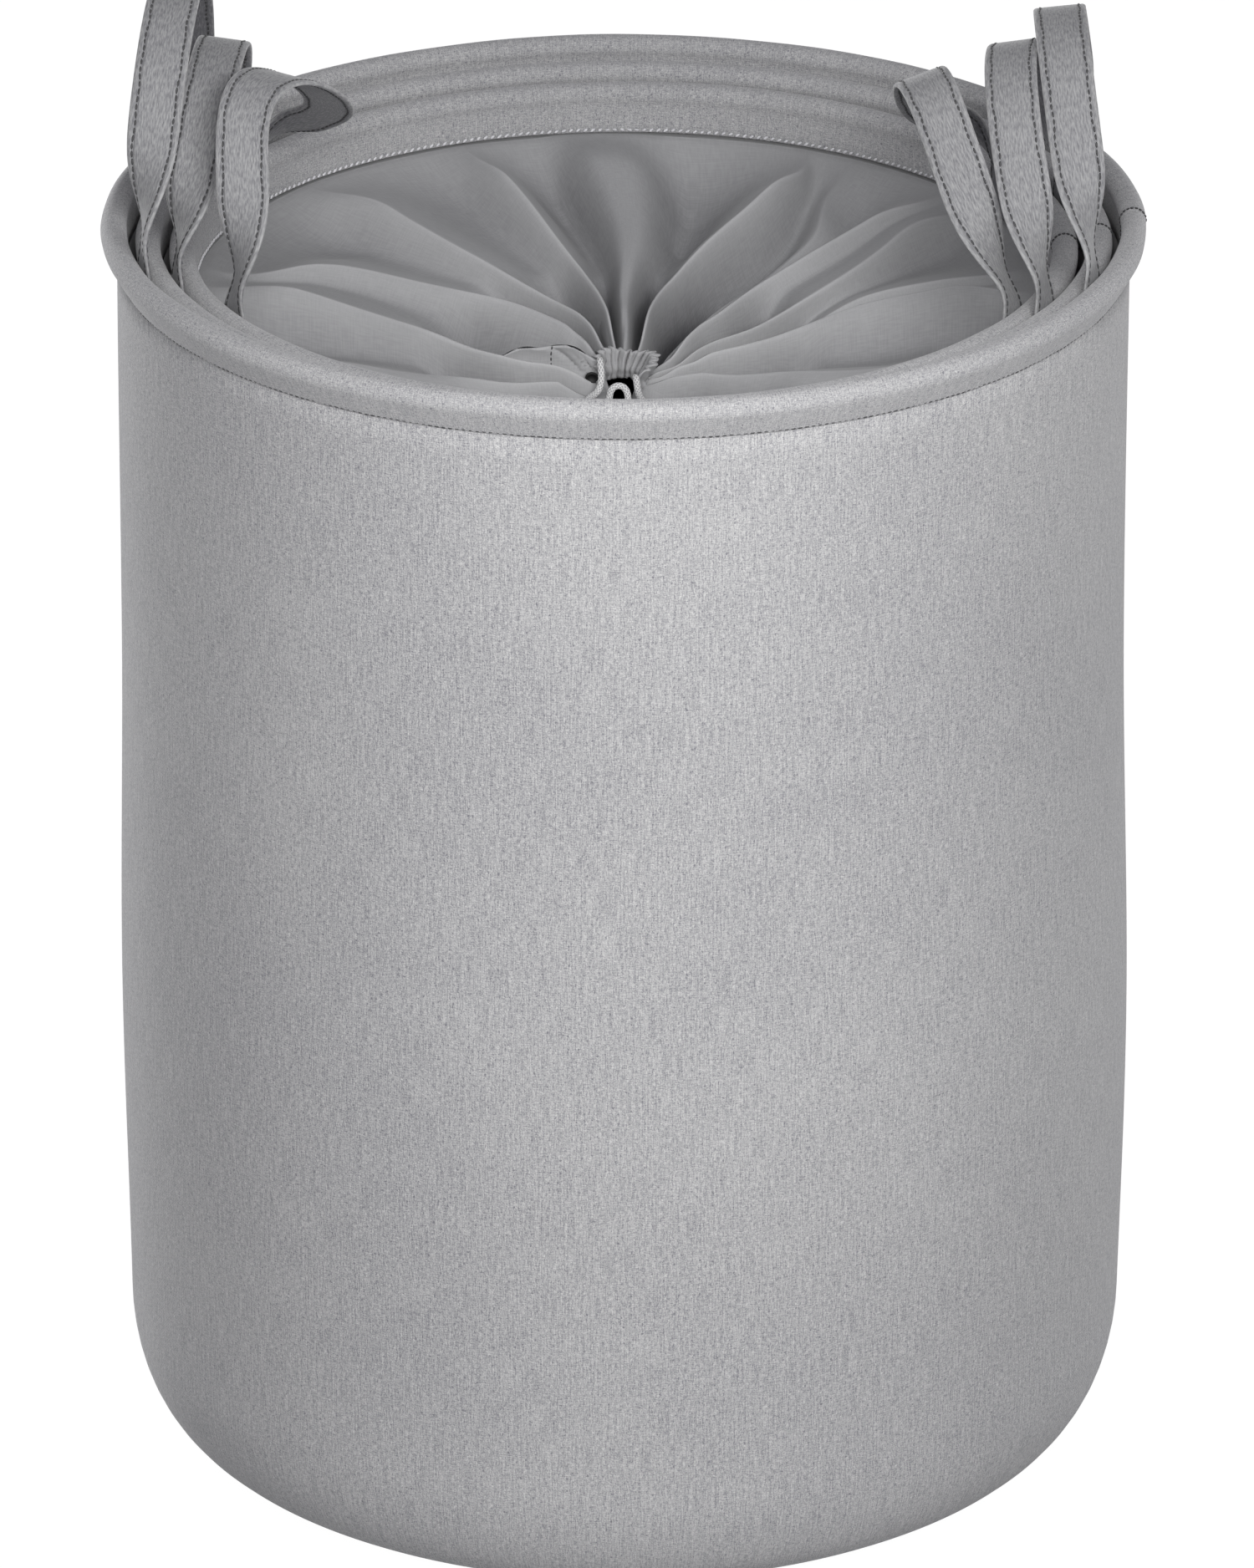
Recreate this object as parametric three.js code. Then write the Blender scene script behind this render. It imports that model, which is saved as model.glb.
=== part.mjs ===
// Nest of three round fabric laundry hampers, each with a hooped rim, two strap handles and a
// drawstring closure cloth. Millimetres, +Z up, floor at z = 0, front of the nest towards -Y.
import * as THREE from "three";

// Nest: the outer rim, and how far each smaller hamper steps in and sinks.
const segments = 36;
const rimRadius = 200;
const rimTop = 500;
const nestStep = 13;
const middleRimDrop = 6.5;
const innerRimDrop = 10.5;
const clearance = 0.3;

// Cloth body: insets count from the rim's radius, the corner is the rounded foot.
const wallThickness = 1.6;
const bottomThickness = 1.6;
const topInset = 6;
const upperInset = 5;
const bellyInset = 2;
const lowInset = 3.5;
const upperHeightShare = 0.66;
const bellyHeightShare = 0.36;
const cornerRadial = 26;
const cornerHeight = 48;
const footStepShares = [0, 0.3, 0.55, 0.75];
const cornerEndShare = 1;

// Rim: cloth folded over a hoop, with its seam below.
const beadRadius = 5;
const hemThickness = 1.6;
const hoopRadius = 3;
const hemDrop = 15.7;
const hemLeafLap = 4;
const neckDrop = 10;
const channelStartShare = -0.25;
const foldEndShare = 0.57;

// Handles: legs and turn are counted in facets of the rim, so that each tail sits flat.
const strapWidth = 20;
const strapThickness = 2;
const tailThickness = 1.5;
const tailInset = 1;
const hingeRise = 2.2;
const strapStart = 1.4;
const strapSteps = 26;
const twistEndShare = 0.62;
const leanTiltShare = 0.75;
const nestLegFacets = 2;
const nestYawFacets = -0.5;
const outerRightYawFacets = 0;
const innerLegFacets = 2.5;
const innerYawFacets = 0;
const outerRightCrownHeight = 76;
const outerLeftCrownHeight = 82;
const outerRightLean = 11;
const outerLeftLean = 6;
const middleRightCrownHeight = 73.5;
const middleLeftCrownHeight = 64.5;
const middleRightLean = 17;
const middleLeftLean = 10;
const innerCrownHeight = 61;
const innerRiseSkewShare = 0.32;
const innerLeftLeanSkewShare = 0.8;
const innerRightLean = 35;
const innerLeftLean = 23;

// Open closure sleeves of the two larger hampers.
const sleeveThickness = 1;
const sleeveLength = 218;
const casingHeight = 26;
const casingTaper = 15;
const casingOutset = 0.9;
const casingDepth = 6;
const ringCordSides = 5;

// Gathered closure of the small hamper.
const coverThickness = 1.1;
const gatherDrop = 60;
const foldHeight = 7;
const neckRadius = 8.5;
const neckRipple = 0.8;
const collarHeight = 12;
const collarFlare = 2.6;
const sagPower = 1.7;

// Drawcord.
const cordDiameter = 2.6;
const cordSides = 8;
const coilSides = 6;
const coilLoopSteps = 20;
const coilTurnsPerLayer = 4;
const coilRadius = 21;
const coilPitch = 3.1;
const coilTilt = 0.31;
const coilCentre = [0, -105, 445.4];
const cordStepDiameters = 2.2;

// One row per fold station round the gathered cloth: share of a turn, share of the fold height.
const foldShares = [
  [0.007, 1], [0.03, 0.1], [0.048, -0.7], [0.07, 0.1],
  [0.089, 0.9], [0.1, 0.3], [0.11, 0], [0.12, 0.4],
  [0.131, 1], [0.148, 0], [0.163, -0.9], [0.18, -0.1],
  [0.194, 0.9], [0.212, 0.9], [0.235, -0.3], [0.262, -1],
  [0.285, -0.2], [0.302, 1], [0.318, 0], [0.334, -0.9],
  [0.352, 0], [0.368, 1], [0.382, 0.1], [0.396, -0.5],
  [0.41, 0.1], [0.424, 0.9], [0.444, 0], [0.462, -0.6],
  [0.482, 0.2], [0.5, 1], [0.522, 0], [0.545, -0.8],
  [0.567, 0], [0.589, 0.9], [0.61, 0], [0.632, -0.6],
  [0.65, 0.2], [0.668, 0.9], [0.69, -0.3], [0.713, -0.8],
  [0.75, -0.9], [0.787, -0.8], [0.81, -0.3], [0.832, 0.9],
  [0.858, 0], [0.882, -0.7], [0.91, 0.9], [0.958, -0.6],
];
// One row per ring of the cloth: share of the seam radius, share of the fold height.
const clothShares = [
  [1, 0], [0.94, 0.3], [0.83, 0.75], [0.68, 1],
  [0.52, 1], [0.37, 0.85], [0.24, 0.6], [0.13, 0.3],
];
// One row per ring of the gathered neck: share of the collar height, share of the flare.
const collarShares = [[0.02, 0], [0.45, 0.1], [1, 1]];

// Free stretches of the drawcord, from the casing to the stored coil.
const leftCordPoints = [
  [-8.9, -11.2, 440.8], [-9.4, -12.5, 443.4], [-9.1, -14, 444.5], [-8.6, -15.7, 442.4],
  [-8.2, -17.2, 438.4], [-8.2, -19, 435], [-9.6, -22.6, 433.7], [-11, -27.2, 434],
  [-10.2, -30.8, 434], [-7.6, -30.4, 434], [-6.1, -27, 436.2], [-3.7, -24.9, 437.6],
  [-0.8, -24.9, 437.6], [1.2, -26.6, 436.1], [1.8, -30, 433.4], [1.4, -36, 432.6], [-1.4, -46, 432.7],
  [-8, -58, 434.6], [-14.5, -70, 437.4], [-15.6, -79, 439.4], [-11, -83.6, 441.2],
  [-5.6, -84.05, 441.94], [-2.9, -84.05, 441.94],
];
const rightCordPoints = [
  [4.4, -12.9, 435.8], [4.6, -14.5, 437.1], [4.9, -16.5, 436.5], [5.2, -18.8, 434.6],
  [5.7, -22.4, 433], [8.2, -32, 432.8], [11.6, -46, 433.8], [15.4, -60, 435.6], [17.6, -72, 437.7],
  [15, -81, 439], [10, -84.6, 439.2], [5.6, -85, 438.99], [2.9, -85, 438.99],
];

const cloth = { color: 0xa9a6a6, roughness: 0.95, metalness: 0 };
const darkCloth = { color: 0x8f8c8f, roughness: 0.95, metalness: 0 };
const smoothCloth = { color: 0x98989a, roughness: 0.9, metalness: 0 };
const rod = { color: 0xc4c4c4, roughness: 0.6, metalness: 0 };
const cordFinish = { color: 0xdcdad5, roughness: 0.85, metalness: 0 };

const facet = (2 * Math.PI) / segments;
const half = 0.5;
const quarterTurn = Math.PI / 2;
const group = new THREE.Group();

function addNode(name, geometry, finish) {
  const mesh = new THREE.Mesh(geometry, new THREE.MeshStandardMaterial(finish));
  mesh.name = name;
  group.add(mesh);
}

// Distance from the axis to the middle of a facet of a ring whose corners lie at radius r.
function flatOf(r) {
  return r * Math.cos(facet * half);
}

function meshFrom(points, triangles) {
  const g = new THREE.BufferGeometry();
  g.setAttribute("position", new THREE.Float32BufferAttribute(points.flat(), 3));
  g.setIndex(triangles);
  return g;
}

// Turns a closed (r, z) outline about Z. Outlines run anticlockwise with r to the right.
function turned(outline) {
  const area = outline.reduce((sum, [r, z], i) => {
    const [r2, z2] = outline[(i + 1) % outline.length];
    return sum + r * z2 - r2 * z;
  }, 0);
  const ordered = area > 0 ? outline : [...outline].reverse();
  const onAxis = ordered.findIndex(([r], i) => r === 0 && ordered[(i + 1) % ordered.length][0] > 0);
  const first = Math.max(onAxis, 0);
  const rolled = [...ordered.slice(first), ...ordered.slice(0, first)];
  const closed = onAxis < 0 ? [...rolled, rolled[0]] : rolled;
  const points = closed.map(([r, z]) => new THREE.Vector2(r, z));
  return new THREE.LatheGeometry(points, segments).rotateX(quarterTurn);
}

// Joins rings of equal point counts into a closed tube; each ring's points run anticlockwise
// when seen from the tube's far end.
function lofted(rings) {
  const n = rings[0].length;
  const points = rings.flat().map((p) => [p.x, p.y, p.z]);
  const triangles = [];
  for (let i = 0; i + 1 < rings.length; i++) {
    for (let j = 0; j < n; j++) {
      const a = i * n + j;
      const b = i * n + ((j + 1) % n);
      triangles.push(a, b, b + n, a, b + n, a + n);
    }
  }
  const last = (rings.length - 1) * n;
  for (let j = 1; j + 1 < n; j++) {
    triangles.push(0, j + 1, j);
    triangles.push(last, last + j, last + j + 1);
  }
  return meshFrom(points, triangles);
}

// Sizes of one hamper of the nest, counted from the outside.
function hamperSizes(index, rimDrop) {
  const rim = rimRadius - index * nestStep;
  const base = index * (bottomThickness + clearance);
  const top = rimTop - rimDrop;
  const wallOuter = rim - topInset;
  const seam = top - hemDrop;
  return {
    rim,
    base,
    top,
    seam,
    wallOuter,
    wallInner: wallOuter - wallThickness,
    foot: rim - lowInset - cornerRadial,
    leafInner: wallOuter - wallThickness - clearance - hemThickness,
    beadCentre: rim - beadRadius,
    beadHeight: top - beadRadius,
    leafBottom: seam - hemLeafLap,
  };
}

// Point of the rounded foot at a share of its quarter turn, on the outer or the inner face.
function cornerPoint(h, share, inward, lift) {
  const a = share * quarterTurn;
  const r = h.foot + (cornerRadial - inward) * Math.sin(a);
  return [r, h.base + cornerHeight - (cornerHeight - lift) * Math.cos(a)];
}

function foot(h) {
  const outside = footStepShares.map((share) => cornerPoint(h, share, 0, 0));
  const inside = footStepShares.map((share) => cornerPoint(h, share, wallThickness, bottomThickness));
  return turned([...outside, ...inside.reverse()]);
}

function wallSurface(h, inward, lift) {
  const height = h.seam - h.base;
  const [startRadius, startHeight] = cornerPoint(h, footStepShares.at(-1), inward, lift);
  return [
    [startRadius, startHeight + clearance],
    cornerPoint(h, cornerEndShare, inward, lift),
    [h.rim - bellyInset - inward, h.base + bellyHeightShare * height],
    [h.rim - upperInset - inward, h.base + upperHeightShare * height],
    [h.wallOuter - inward, h.seam],
  ];
}

function wall(h) {
  const outside = wallSurface(h, 0, 0);
  const inside = wallSurface(h, wallThickness, bottomThickness).reverse();
  return turned([...outside, ...inside]);
}

function bottomPanel(h) {
  const edge = h.foot - clearance;
  const top = h.base + bottomThickness;
  return turned([[0, h.base], [edge, h.base], [edge, top], [0, top]]);
}

function arc(h, radius, from, to, steps) {
  return Array.from({ length: steps + 1 }, (_, i) => {
    const a = from + ((to - from) * i) / steps;
    return [h.beadCentre + radius * Math.cos(a), h.beadHeight + radius * Math.sin(a)];
  });
}

// Angle at which the cloth's outer leaf, drawn up from the seam, meets the round of the bead.
function skinStart(h, seamBottom) {
  const out = h.wallOuter - h.beadCentre;
  const down = seamBottom - h.beadHeight;
  return Math.atan2(down, out) + Math.acos(beadRadius / Math.hypot(out, down));
}

// Cloth folded over the hoop: outer leaf above the wall, inner leaf lapping behind the wall.
function hem(h) {
  const outerSteps = 6;
  const innerSteps = 5;
  const seamBottom = h.seam + clearance;
  const channel = beadRadius - hemThickness;
  const start = channelStartShare * 2 * Math.PI;
  const end = foldEndShare * 2 * Math.PI;
  const outside = arc(h, beadRadius, skinStart(h, seamBottom), end, outerSteps);
  const inside = arc(h, channel, start, end, innerSteps).reverse();
  return turned([
    [h.wallOuter, seamBottom],
    ...outside,
    [h.leafInner, h.leafBottom],
    [h.leafInner + hemThickness, h.leafBottom],
    ...inside,
    [h.wallInner, h.top - neckDrop + hemThickness],
    [h.wallInner, seamBottom],
  ]);
}

function ringOutline(centre, height, radius, sides) {
  return Array.from({ length: sides }, (_, i) => {
    const a = ((i + half) / sides) * 2 * Math.PI;
    return [centre + radius * Math.cos(a), height + radius * Math.sin(a)];
  });
}

function hoop(h) {
  const hoopSides = 6;
  return turned(ringOutline(h.beadCentre, h.beadHeight, hoopRadius, hoopSides));
}

// Places of a hamper's sleeve casing, which holds the slack drawcord ring.
function casingSizes(h) {
  const outer = h.leafInner + sleeveThickness;
  const bottom = h.leafBottom - clearance - sleeveLength;
  const wide = outer + casingOutset;
  return { outer, bottom, wide, narrow: wide - casingDepth };
}

function sleeve(h) {
  const c = casingSizes(h);
  const t = sleeveThickness;
  const top = h.leafBottom - clearance;
  const casingTop = c.bottom + casingHeight;
  const taperTop = casingTop + casingTaper;
  return turned([
    [c.outer, top],
    [c.outer - t, top],
    [c.outer - t, taperTop],
    [c.wide - t, casingTop],
    [c.wide - t, c.bottom + t],
    [c.narrow + t, c.bottom + t],
    [c.narrow + t, casingTop],
    [c.narrow, casingTop],
    [c.narrow, c.bottom],
    [c.wide, c.bottom],
    [c.wide, casingTop],
    [c.outer, taperTop],
  ]);
}

function ringCord(h) {
  const c = casingSizes(h);
  const middle = (c.wide + c.narrow) * half;
  const height = c.bottom + sleeveThickness + clearance + cordDiameter * half;
  return turned(ringOutline(middle, height, cordDiameter * half, ringCordSides));
}

// Frame of one handle: out points away from the axis, along runs from leg to leg. The tails
// clear the rim's inside also where they stand at its corners.
function handleFrame(h, side, legFacets, yawFacets) {
  const turn = (side > 0 ? 0 : Math.PI) + yawFacets * facet;
  const spread = legFacets * facet;
  const inset = clearance + strapWidth * half * Math.sin(facet * half);
  const tailOuter = (flatOf(h.beadCentre - beadRadius) - inset) / Math.cos(facet * half);
  const legRadius = tailOuter - tailThickness * half;
  return {
    out: new THREE.Vector3(Math.cos(turn), Math.sin(turn), 0),
    along: new THREE.Vector3(-Math.sin(turn), Math.cos(turn), 0),
    side,
    turn,
    spread,
    legRadius,
    chord: legRadius * Math.cos(spread),
    reach: legRadius * Math.sin(spread),
    hinge: h.top + hingeRise,
  };
}

// Strap loop: an arch that leans inwards and turns its width from along the rim to across it.
// A skewed arch sinks at its back leg, and its lean may grow there.
function strapLoop(f, crownHeight, lean, riseSkewShare, leanSkewShare) {
  const rings = [];
  const foot = f.hinge - strapStart;
  const arch = crownHeight + strapStart;
  const tilt = Math.atan2(lean, arch) * leanTiltShare;
  const across = f.out.clone().multiplyScalar(Math.cos(tilt));
  across.z = Math.sin(tilt);
  const riseSkew = f.side * riseSkewShare;
  const leanSkew = lean * leanSkewShare * f.side;
  for (let i = 0; i <= strapSteps; i++) {
    const a = (i / strapSteps) * Math.PI;
    const rise = Math.sin(a);
    const twist = quarterTurn * THREE.MathUtils.smoothstep(rise, 0, twistEndShare);
    const sway = Math.sin(2 * a) * rise;
    const swayGrowth = 2 * Math.cos(2 * a) * rise + Math.sin(2 * a) * Math.cos(a);
    const centre = f.out.clone().multiplyScalar(f.chord - lean * rise - leanSkew * sway);
    centre.addScaledVector(f.along, f.reach * Math.cos(a));
    centre.z = foot + arch * (rise - riseSkew * sway);
    const tangent = f.along.clone().multiplyScalar(-f.reach * Math.sin(a));
    tangent.addScaledVector(f.out, -lean * Math.cos(a) - leanSkew * swayGrowth);
    tangent.z += arch * (Math.cos(a) - riseSkew * swayGrowth);
    tangent.normalize();
    const inPlane = new THREE.Vector3().crossVectors(f.out, tangent).normalize().negate();
    const width = inPlane.multiplyScalar(Math.cos(twist)).addScaledVector(across, -Math.sin(twist));
    width.addScaledVector(tangent, -width.dot(tangent)).normalize();
    const face = new THREE.Vector3().crossVectors(tangent, width);
    const corners = [[-1, -1], [1, -1], [1, 1], [-1, 1]];
    rings.push(corners.map(([w, t]) => centre.clone()
      .addScaledVector(width, w * strapWidth * half)
      .addScaledVector(face, t * strapThickness * half)));
  }
  return lofted(rings);
}

// Sewn end of a strap: a flat plate on the inside of the bead, centred on one facet.
function strapTail(h, f, leg) {
  const length = h.top - h.leafBottom - tailInset;
  const g = new THREE.BoxGeometry(tailThickness, strapWidth, length);
  g.translate(f.legRadius, 0, h.top - length * half);
  return g.rotateZ(f.turn + leg * f.spread);
}

// Centre surface of the gathered cloth at ring i and fold station j.
function clothPoint(seamRadius, seamHeight, gather, i, j) {
  const [turnShare, rise] = foldShares[j];
  const a = turnShare * 2 * Math.PI;
  if (i < clothShares.length) {
    const [radiusShare, foldShare] = clothShares[i];
    const r = seamRadius * radiusShare;
    const sag = gather + (seamHeight - gather) * Math.pow(radiusShare, sagPower);
    const z = sag + foldHeight * foldShare * rise;
    return new THREE.Vector3(r * Math.cos(a), r * Math.sin(a), z);
  }
  const [heightShare, flareShare] = collarShares[i - clothShares.length];
  const r = neckRadius + collarFlare * flareShare + neckRipple * rise;
  return new THREE.Vector3(r * Math.cos(a), r * Math.sin(a), gather + collarHeight * heightShare);
}

function gatheredCover(h) {
  const rows = clothShares.length + collarShares.length;
  const n = foldShares.length;
  const t = coverThickness * half;
  const seamRadius = flatOf(h.wallInner) - clearance;
  const seamHeight = h.leafBottom - clearance - coverThickness * half;
  const gather = h.top - gatherDrop;
  const at = (i, j) => clothPoint(seamRadius, seamHeight, gather, i, (j + n) % n);
  const upper = [];
  const lower = [];
  for (let i = 0; i < rows; i++) {
    for (let j = 0; j < n; j++) {
      const inward = at(Math.min(i + 1, rows - 1), j).sub(at(Math.max(i - 1, 0), j));
      const round = at(i, j + 1).sub(at(i, j - 1));
      const normal = i === 0 ? new THREE.Vector3(0, 0, 1) : round.cross(inward).normalize();
      upper.push(at(i, j).addScaledVector(normal, t));
      lower.push(at(i, j).addScaledVector(normal, -t));
    }
  }
  const points = [...upper, ...lower].map((p) => [p.x, p.y, p.z]);
  const triangles = [];
  const under = rows * n;
  const quad = (a, b, c, d) => triangles.push(a, b, c, a, c, d);
  for (let j = 0; j < n; j++) {
    const k = (j + 1) % n;
    for (let i = 0; i + 1 < rows; i++) {
      quad(i * n + j, i * n + k, (i + 1) * n + k, (i + 1) * n + j);
      quad(under + i * n + j, under + (i + 1) * n + j, under + (i + 1) * n + k, under + i * n + k);
    }
    const rim = (rows - 1) * n;
    quad(under + j, under + k, k, j);
    quad(rim + j, rim + k, under + rim + k, under + rim + j);
  }
  return meshFrom(points, triangles);
}

// Round tube along a list of points, with square ends.
function tube(points, sides, steps) {
  const curve = new THREE.CatmullRomCurve3(points, false, "centripetal");
  const section = new THREE.Shape();
  for (let i = 0; i < sides; i++) {
    const a = (i / sides) * 2 * Math.PI;
    const x = cordDiameter * half * Math.cos(a);
    const y = cordDiameter * half * Math.sin(a);
    if (i) section.lineTo(x, y);
    else section.moveTo(x, y);
  }
  section.closePath();
  return new THREE.ExtrudeGeometry(section, { steps, bevelEnabled: false, extrudePath: curve });
}

function freeCord(list) {
  const points = list.map(([x, y, z]) => new THREE.Vector3(x, y, z));
  const length = new THREE.CatmullRomCurve3(points, false, "centripetal").getLength();
  console.log("free stretch " + length.toFixed(1) + " mm");
  return tube(points, cordSides, Math.ceil(length / (cordStepDiameters * cordDiameter)));
}

// Centre line of the stored coil: in along the lower layer, up a layer, out along the upper one.
function coilLine() {
  const centre = new THREE.Vector3(...coilCentre);
  const turns = 2 * coilTurnsPerLayer;
  const count = turns * coilLoopSteps;
  const tilt = new THREE.Matrix4().makeRotationX(-coilTilt);
  const place = (x, y, z) => new THREE.Vector3(x, y, z).applyMatrix4(tilt).add(centre);
  const line = [place(cordDiameter, coilRadius, 0)];
  for (let k = 0; k <= count; k++) {
    const turn = k / coilLoopSteps;
    const depth = coilTurnsPerLayer - Math.abs(turn - coilTurnsPerLayer);
    const r = coilRadius - coilPitch * depth;
    const climb = Math.min(Math.max(turn - coilTurnsPerLayer + half * half, 0) / half, 1);
    const a = turn * 2 * Math.PI + quarterTurn;
    line.push(place(r * Math.cos(a), r * Math.sin(a), coilPitch * climb));
  }
  line.push(place(-cordDiameter, coilRadius, coilPitch));
  return line;
}

// Least distance between two stretches of a line more than half a loop apart, less the cord.
function leastGap(line) {
  let least = Infinity;
  for (let i = 0; i < line.length; i++) {
    for (let j = i + coilLoopSteps * half; j < line.length; j++) {
      least = Math.min(least, line[i].distanceTo(line[Math.round(j)]));
    }
  }
  return least - cordDiameter;
}

function coil() {
  const line = coilLine();
  const length = line.reduce((sum, p, i) => (i ? sum + p.distanceTo(line[i - 1]) : 0), 0);
  console.log("coil " + length.toFixed(1) + " mm, least gap " + leastGap(line).toFixed(2) + " mm");
  return tube(line, coilSides, line.length - 1);
}

function bodyNodes(name, h, finish) {
  addNode(name + "_wall", wall(h), finish);
  addNode(name + "_foot", foot(h), finish);
  addNode(name + "_bottom", bottomPanel(h), darkCloth);
  addNode(name + "_rim_hem", hem(h), finish);
  addNode(name + "_rim_hoop", hoop(h), rod);
}

function handleNodes(name, h, side, stance, shape) {
  const f = handleFrame(h, side, stance.legFacets, stance.yawFacets);
  const { crownHeight, lean, riseSkewShare = 0, leanSkewShare = 0 } = shape;
  addNode(name, strapLoop(f, crownHeight, lean, riseSkewShare, leanSkewShare), cloth);
  addNode(name + "_end_a", strapTail(h, f, -1), darkCloth);
  addNode(name + "_end_b", strapTail(h, f, 1), darkCloth);
  const pivot = f.out.clone().multiplyScalar(f.chord);
  console.log(name, "pivot", pivot.x.toFixed(2), pivot.y.toFixed(2), f.hinge, "reach", f.reach.toFixed(1));
}

function outerHamper() {
  const h = hamperSizes(0, 0);
  bodyNodes("outer", h, cloth);
  addNode("outer_cover", sleeve(h), smoothCloth);
  addNode("outer_drawcord", ringCord(h), cordFinish);
  const rightStance = { legFacets: nestLegFacets, yawFacets: outerRightYawFacets };
  const leftStance = { legFacets: nestLegFacets, yawFacets: nestYawFacets };
  const rightShape = { crownHeight: outerRightCrownHeight, lean: outerRightLean };
  const leftShape = { crownHeight: outerLeftCrownHeight, lean: outerLeftLean };
  handleNodes("outer_handle_right", h, 1, rightStance, rightShape);
  handleNodes("outer_handle_left", h, -1, leftStance, leftShape);
}

function middleHamper() {
  const h = hamperSizes(1, middleRimDrop);
  bodyNodes("middle", h, cloth);
  addNode("middle_cover", sleeve(h), smoothCloth);
  addNode("middle_drawcord", ringCord(h), cordFinish);
  const stance = { legFacets: nestLegFacets, yawFacets: nestYawFacets };
  const rightShape = { crownHeight: middleRightCrownHeight, lean: middleRightLean };
  const leftShape = { crownHeight: middleLeftCrownHeight, lean: middleLeftLean };
  handleNodes("middle_handle_right", h, 1, stance, rightShape);
  handleNodes("middle_handle_left", h, -1, stance, leftShape);
}

function innerHamper() {
  const h = hamperSizes(2, innerRimDrop);
  bodyNodes("inner", h, cloth);
  addNode("inner_cover", gatheredCover(h), smoothCloth);
  addNode("inner_drawcord_left", freeCord(leftCordPoints), cordFinish);
  addNode("inner_drawcord_coil", coil(), cordFinish);
  addNode("inner_drawcord_right", freeCord(rightCordPoints), cordFinish);
  const stance = { legFacets: innerLegFacets, yawFacets: innerYawFacets };
  const sunk = { crownHeight: innerCrownHeight, riseSkewShare: innerRiseSkewShare };
  const rightShape = { ...sunk, lean: innerRightLean };
  const leftShape = { ...sunk, lean: innerLeftLean, leanSkewShare: innerLeftLeanSkewShare };
  handleNodes("inner_handle_right", h, 1, stance, rightShape);
  handleNodes("inner_handle_left", h, -1, stance, leftShape);
}

outerHamper();
middleHamper();
innerHamper();

export default group;
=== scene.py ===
"""Looks of a nest of three round fabric laundry hampers.

Each hamper has a cloth wall, a rim folded over a hoop, two strap handles and a closure cloth
with a drawcord. The small hamper's closure is gathered. Metres, +Z up, front towards -Y.
"""

from __future__ import annotations

import logging
import math
from dataclasses import dataclass, field
from enum import Enum

import bpy
import numpy as np
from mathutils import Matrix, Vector

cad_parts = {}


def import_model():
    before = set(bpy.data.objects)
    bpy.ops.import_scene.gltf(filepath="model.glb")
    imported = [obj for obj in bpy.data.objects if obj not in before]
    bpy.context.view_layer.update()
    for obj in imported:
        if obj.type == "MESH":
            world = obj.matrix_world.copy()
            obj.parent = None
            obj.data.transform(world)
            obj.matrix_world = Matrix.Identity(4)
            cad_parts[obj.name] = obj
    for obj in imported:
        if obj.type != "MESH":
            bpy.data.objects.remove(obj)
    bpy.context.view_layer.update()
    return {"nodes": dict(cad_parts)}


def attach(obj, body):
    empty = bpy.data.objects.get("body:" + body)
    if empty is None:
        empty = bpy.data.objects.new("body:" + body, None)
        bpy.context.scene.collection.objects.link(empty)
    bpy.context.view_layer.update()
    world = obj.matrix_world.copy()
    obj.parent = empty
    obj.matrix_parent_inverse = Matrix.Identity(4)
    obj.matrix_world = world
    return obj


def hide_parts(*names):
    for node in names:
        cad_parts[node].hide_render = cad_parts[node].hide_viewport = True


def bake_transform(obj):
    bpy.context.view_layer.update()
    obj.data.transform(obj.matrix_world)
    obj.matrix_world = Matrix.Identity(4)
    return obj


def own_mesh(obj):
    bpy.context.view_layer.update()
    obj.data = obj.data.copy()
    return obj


LOG = logging.getLogger("hampers")
FACET = math.radians(10)
UV_NAME = "cloth_uv"
# Point attribute of the closure cloth's painted light: painted highlight on ridges and edges, painted shade
# in hollows.
FOLD_LIGHT_NAME = "ridge"
INSIDE_NAME = "inside"
FULL_TURN = 2 * math.pi
STRAP_WIDTH = 0.02
STRAP_TRACK = 0.0074
Socket = bpy.types.NodeSocket
Pair = tuple[float, float]
Triple = tuple[float, float, float]


class Side(Enum):
    """The two sides of a hamper that carry a handle."""

    RIGHT = 1
    LEFT = -1


class Direction(Enum):
    """Whether a stitch row's thread sits along its seam or slants over an edge."""

    RUNNING = 0.0
    WHIPPED = 0.62


# Mesh helpers


def smooth_share(value: np.ndarray, start: float, end: float) -> np.ndarray:
    """Eases from 0 at start to 1 at end.

    Args:
        value: Where each point stands.
        start: Value that gives 0.
        end: Value that gives 1.

    Returns:
        The eased share of each point.
    """
    share = np.clip((value - start) / (end - start), 0.0, 1.0)
    return share * share * (3.0 - 2.0 * share)


def inward_share(radius: np.ndarray, outer: float, inner: float) -> np.ndarray:
    """Eases from 0 at the outer radius to 1 at the inner radius."""
    return smooth_share(-radius, -outer, -inner)


def unit(vectors: np.ndarray) -> np.ndarray:
    """Vectors along the last axis, each made one long."""
    return vectors / np.maximum(np.linalg.norm(vectors, axis=-1, keepdims=True), 1e-12)


def distance_along(line: np.ndarray) -> np.ndarray:
    """Distance travelled along a line, at each of its points."""
    return np.concatenate([[0.0], np.cumsum(np.linalg.norm(np.diff(line, axis=0), axis=1))])


def mark_points(piece: bpy.types.Object, name: str, values: np.ndarray) -> None:
    """Gives each point of a piece a value that its finish reads.

    Args:
        piece: The piece.
        name: Name of the attribute.
        values: A value for each point, in the order of the mesh.
    """
    layer = piece.data.attributes.new(name, "FLOAT", "POINT")
    layer.data.foreach_set("value", values.astype(np.float32).ravel())


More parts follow.
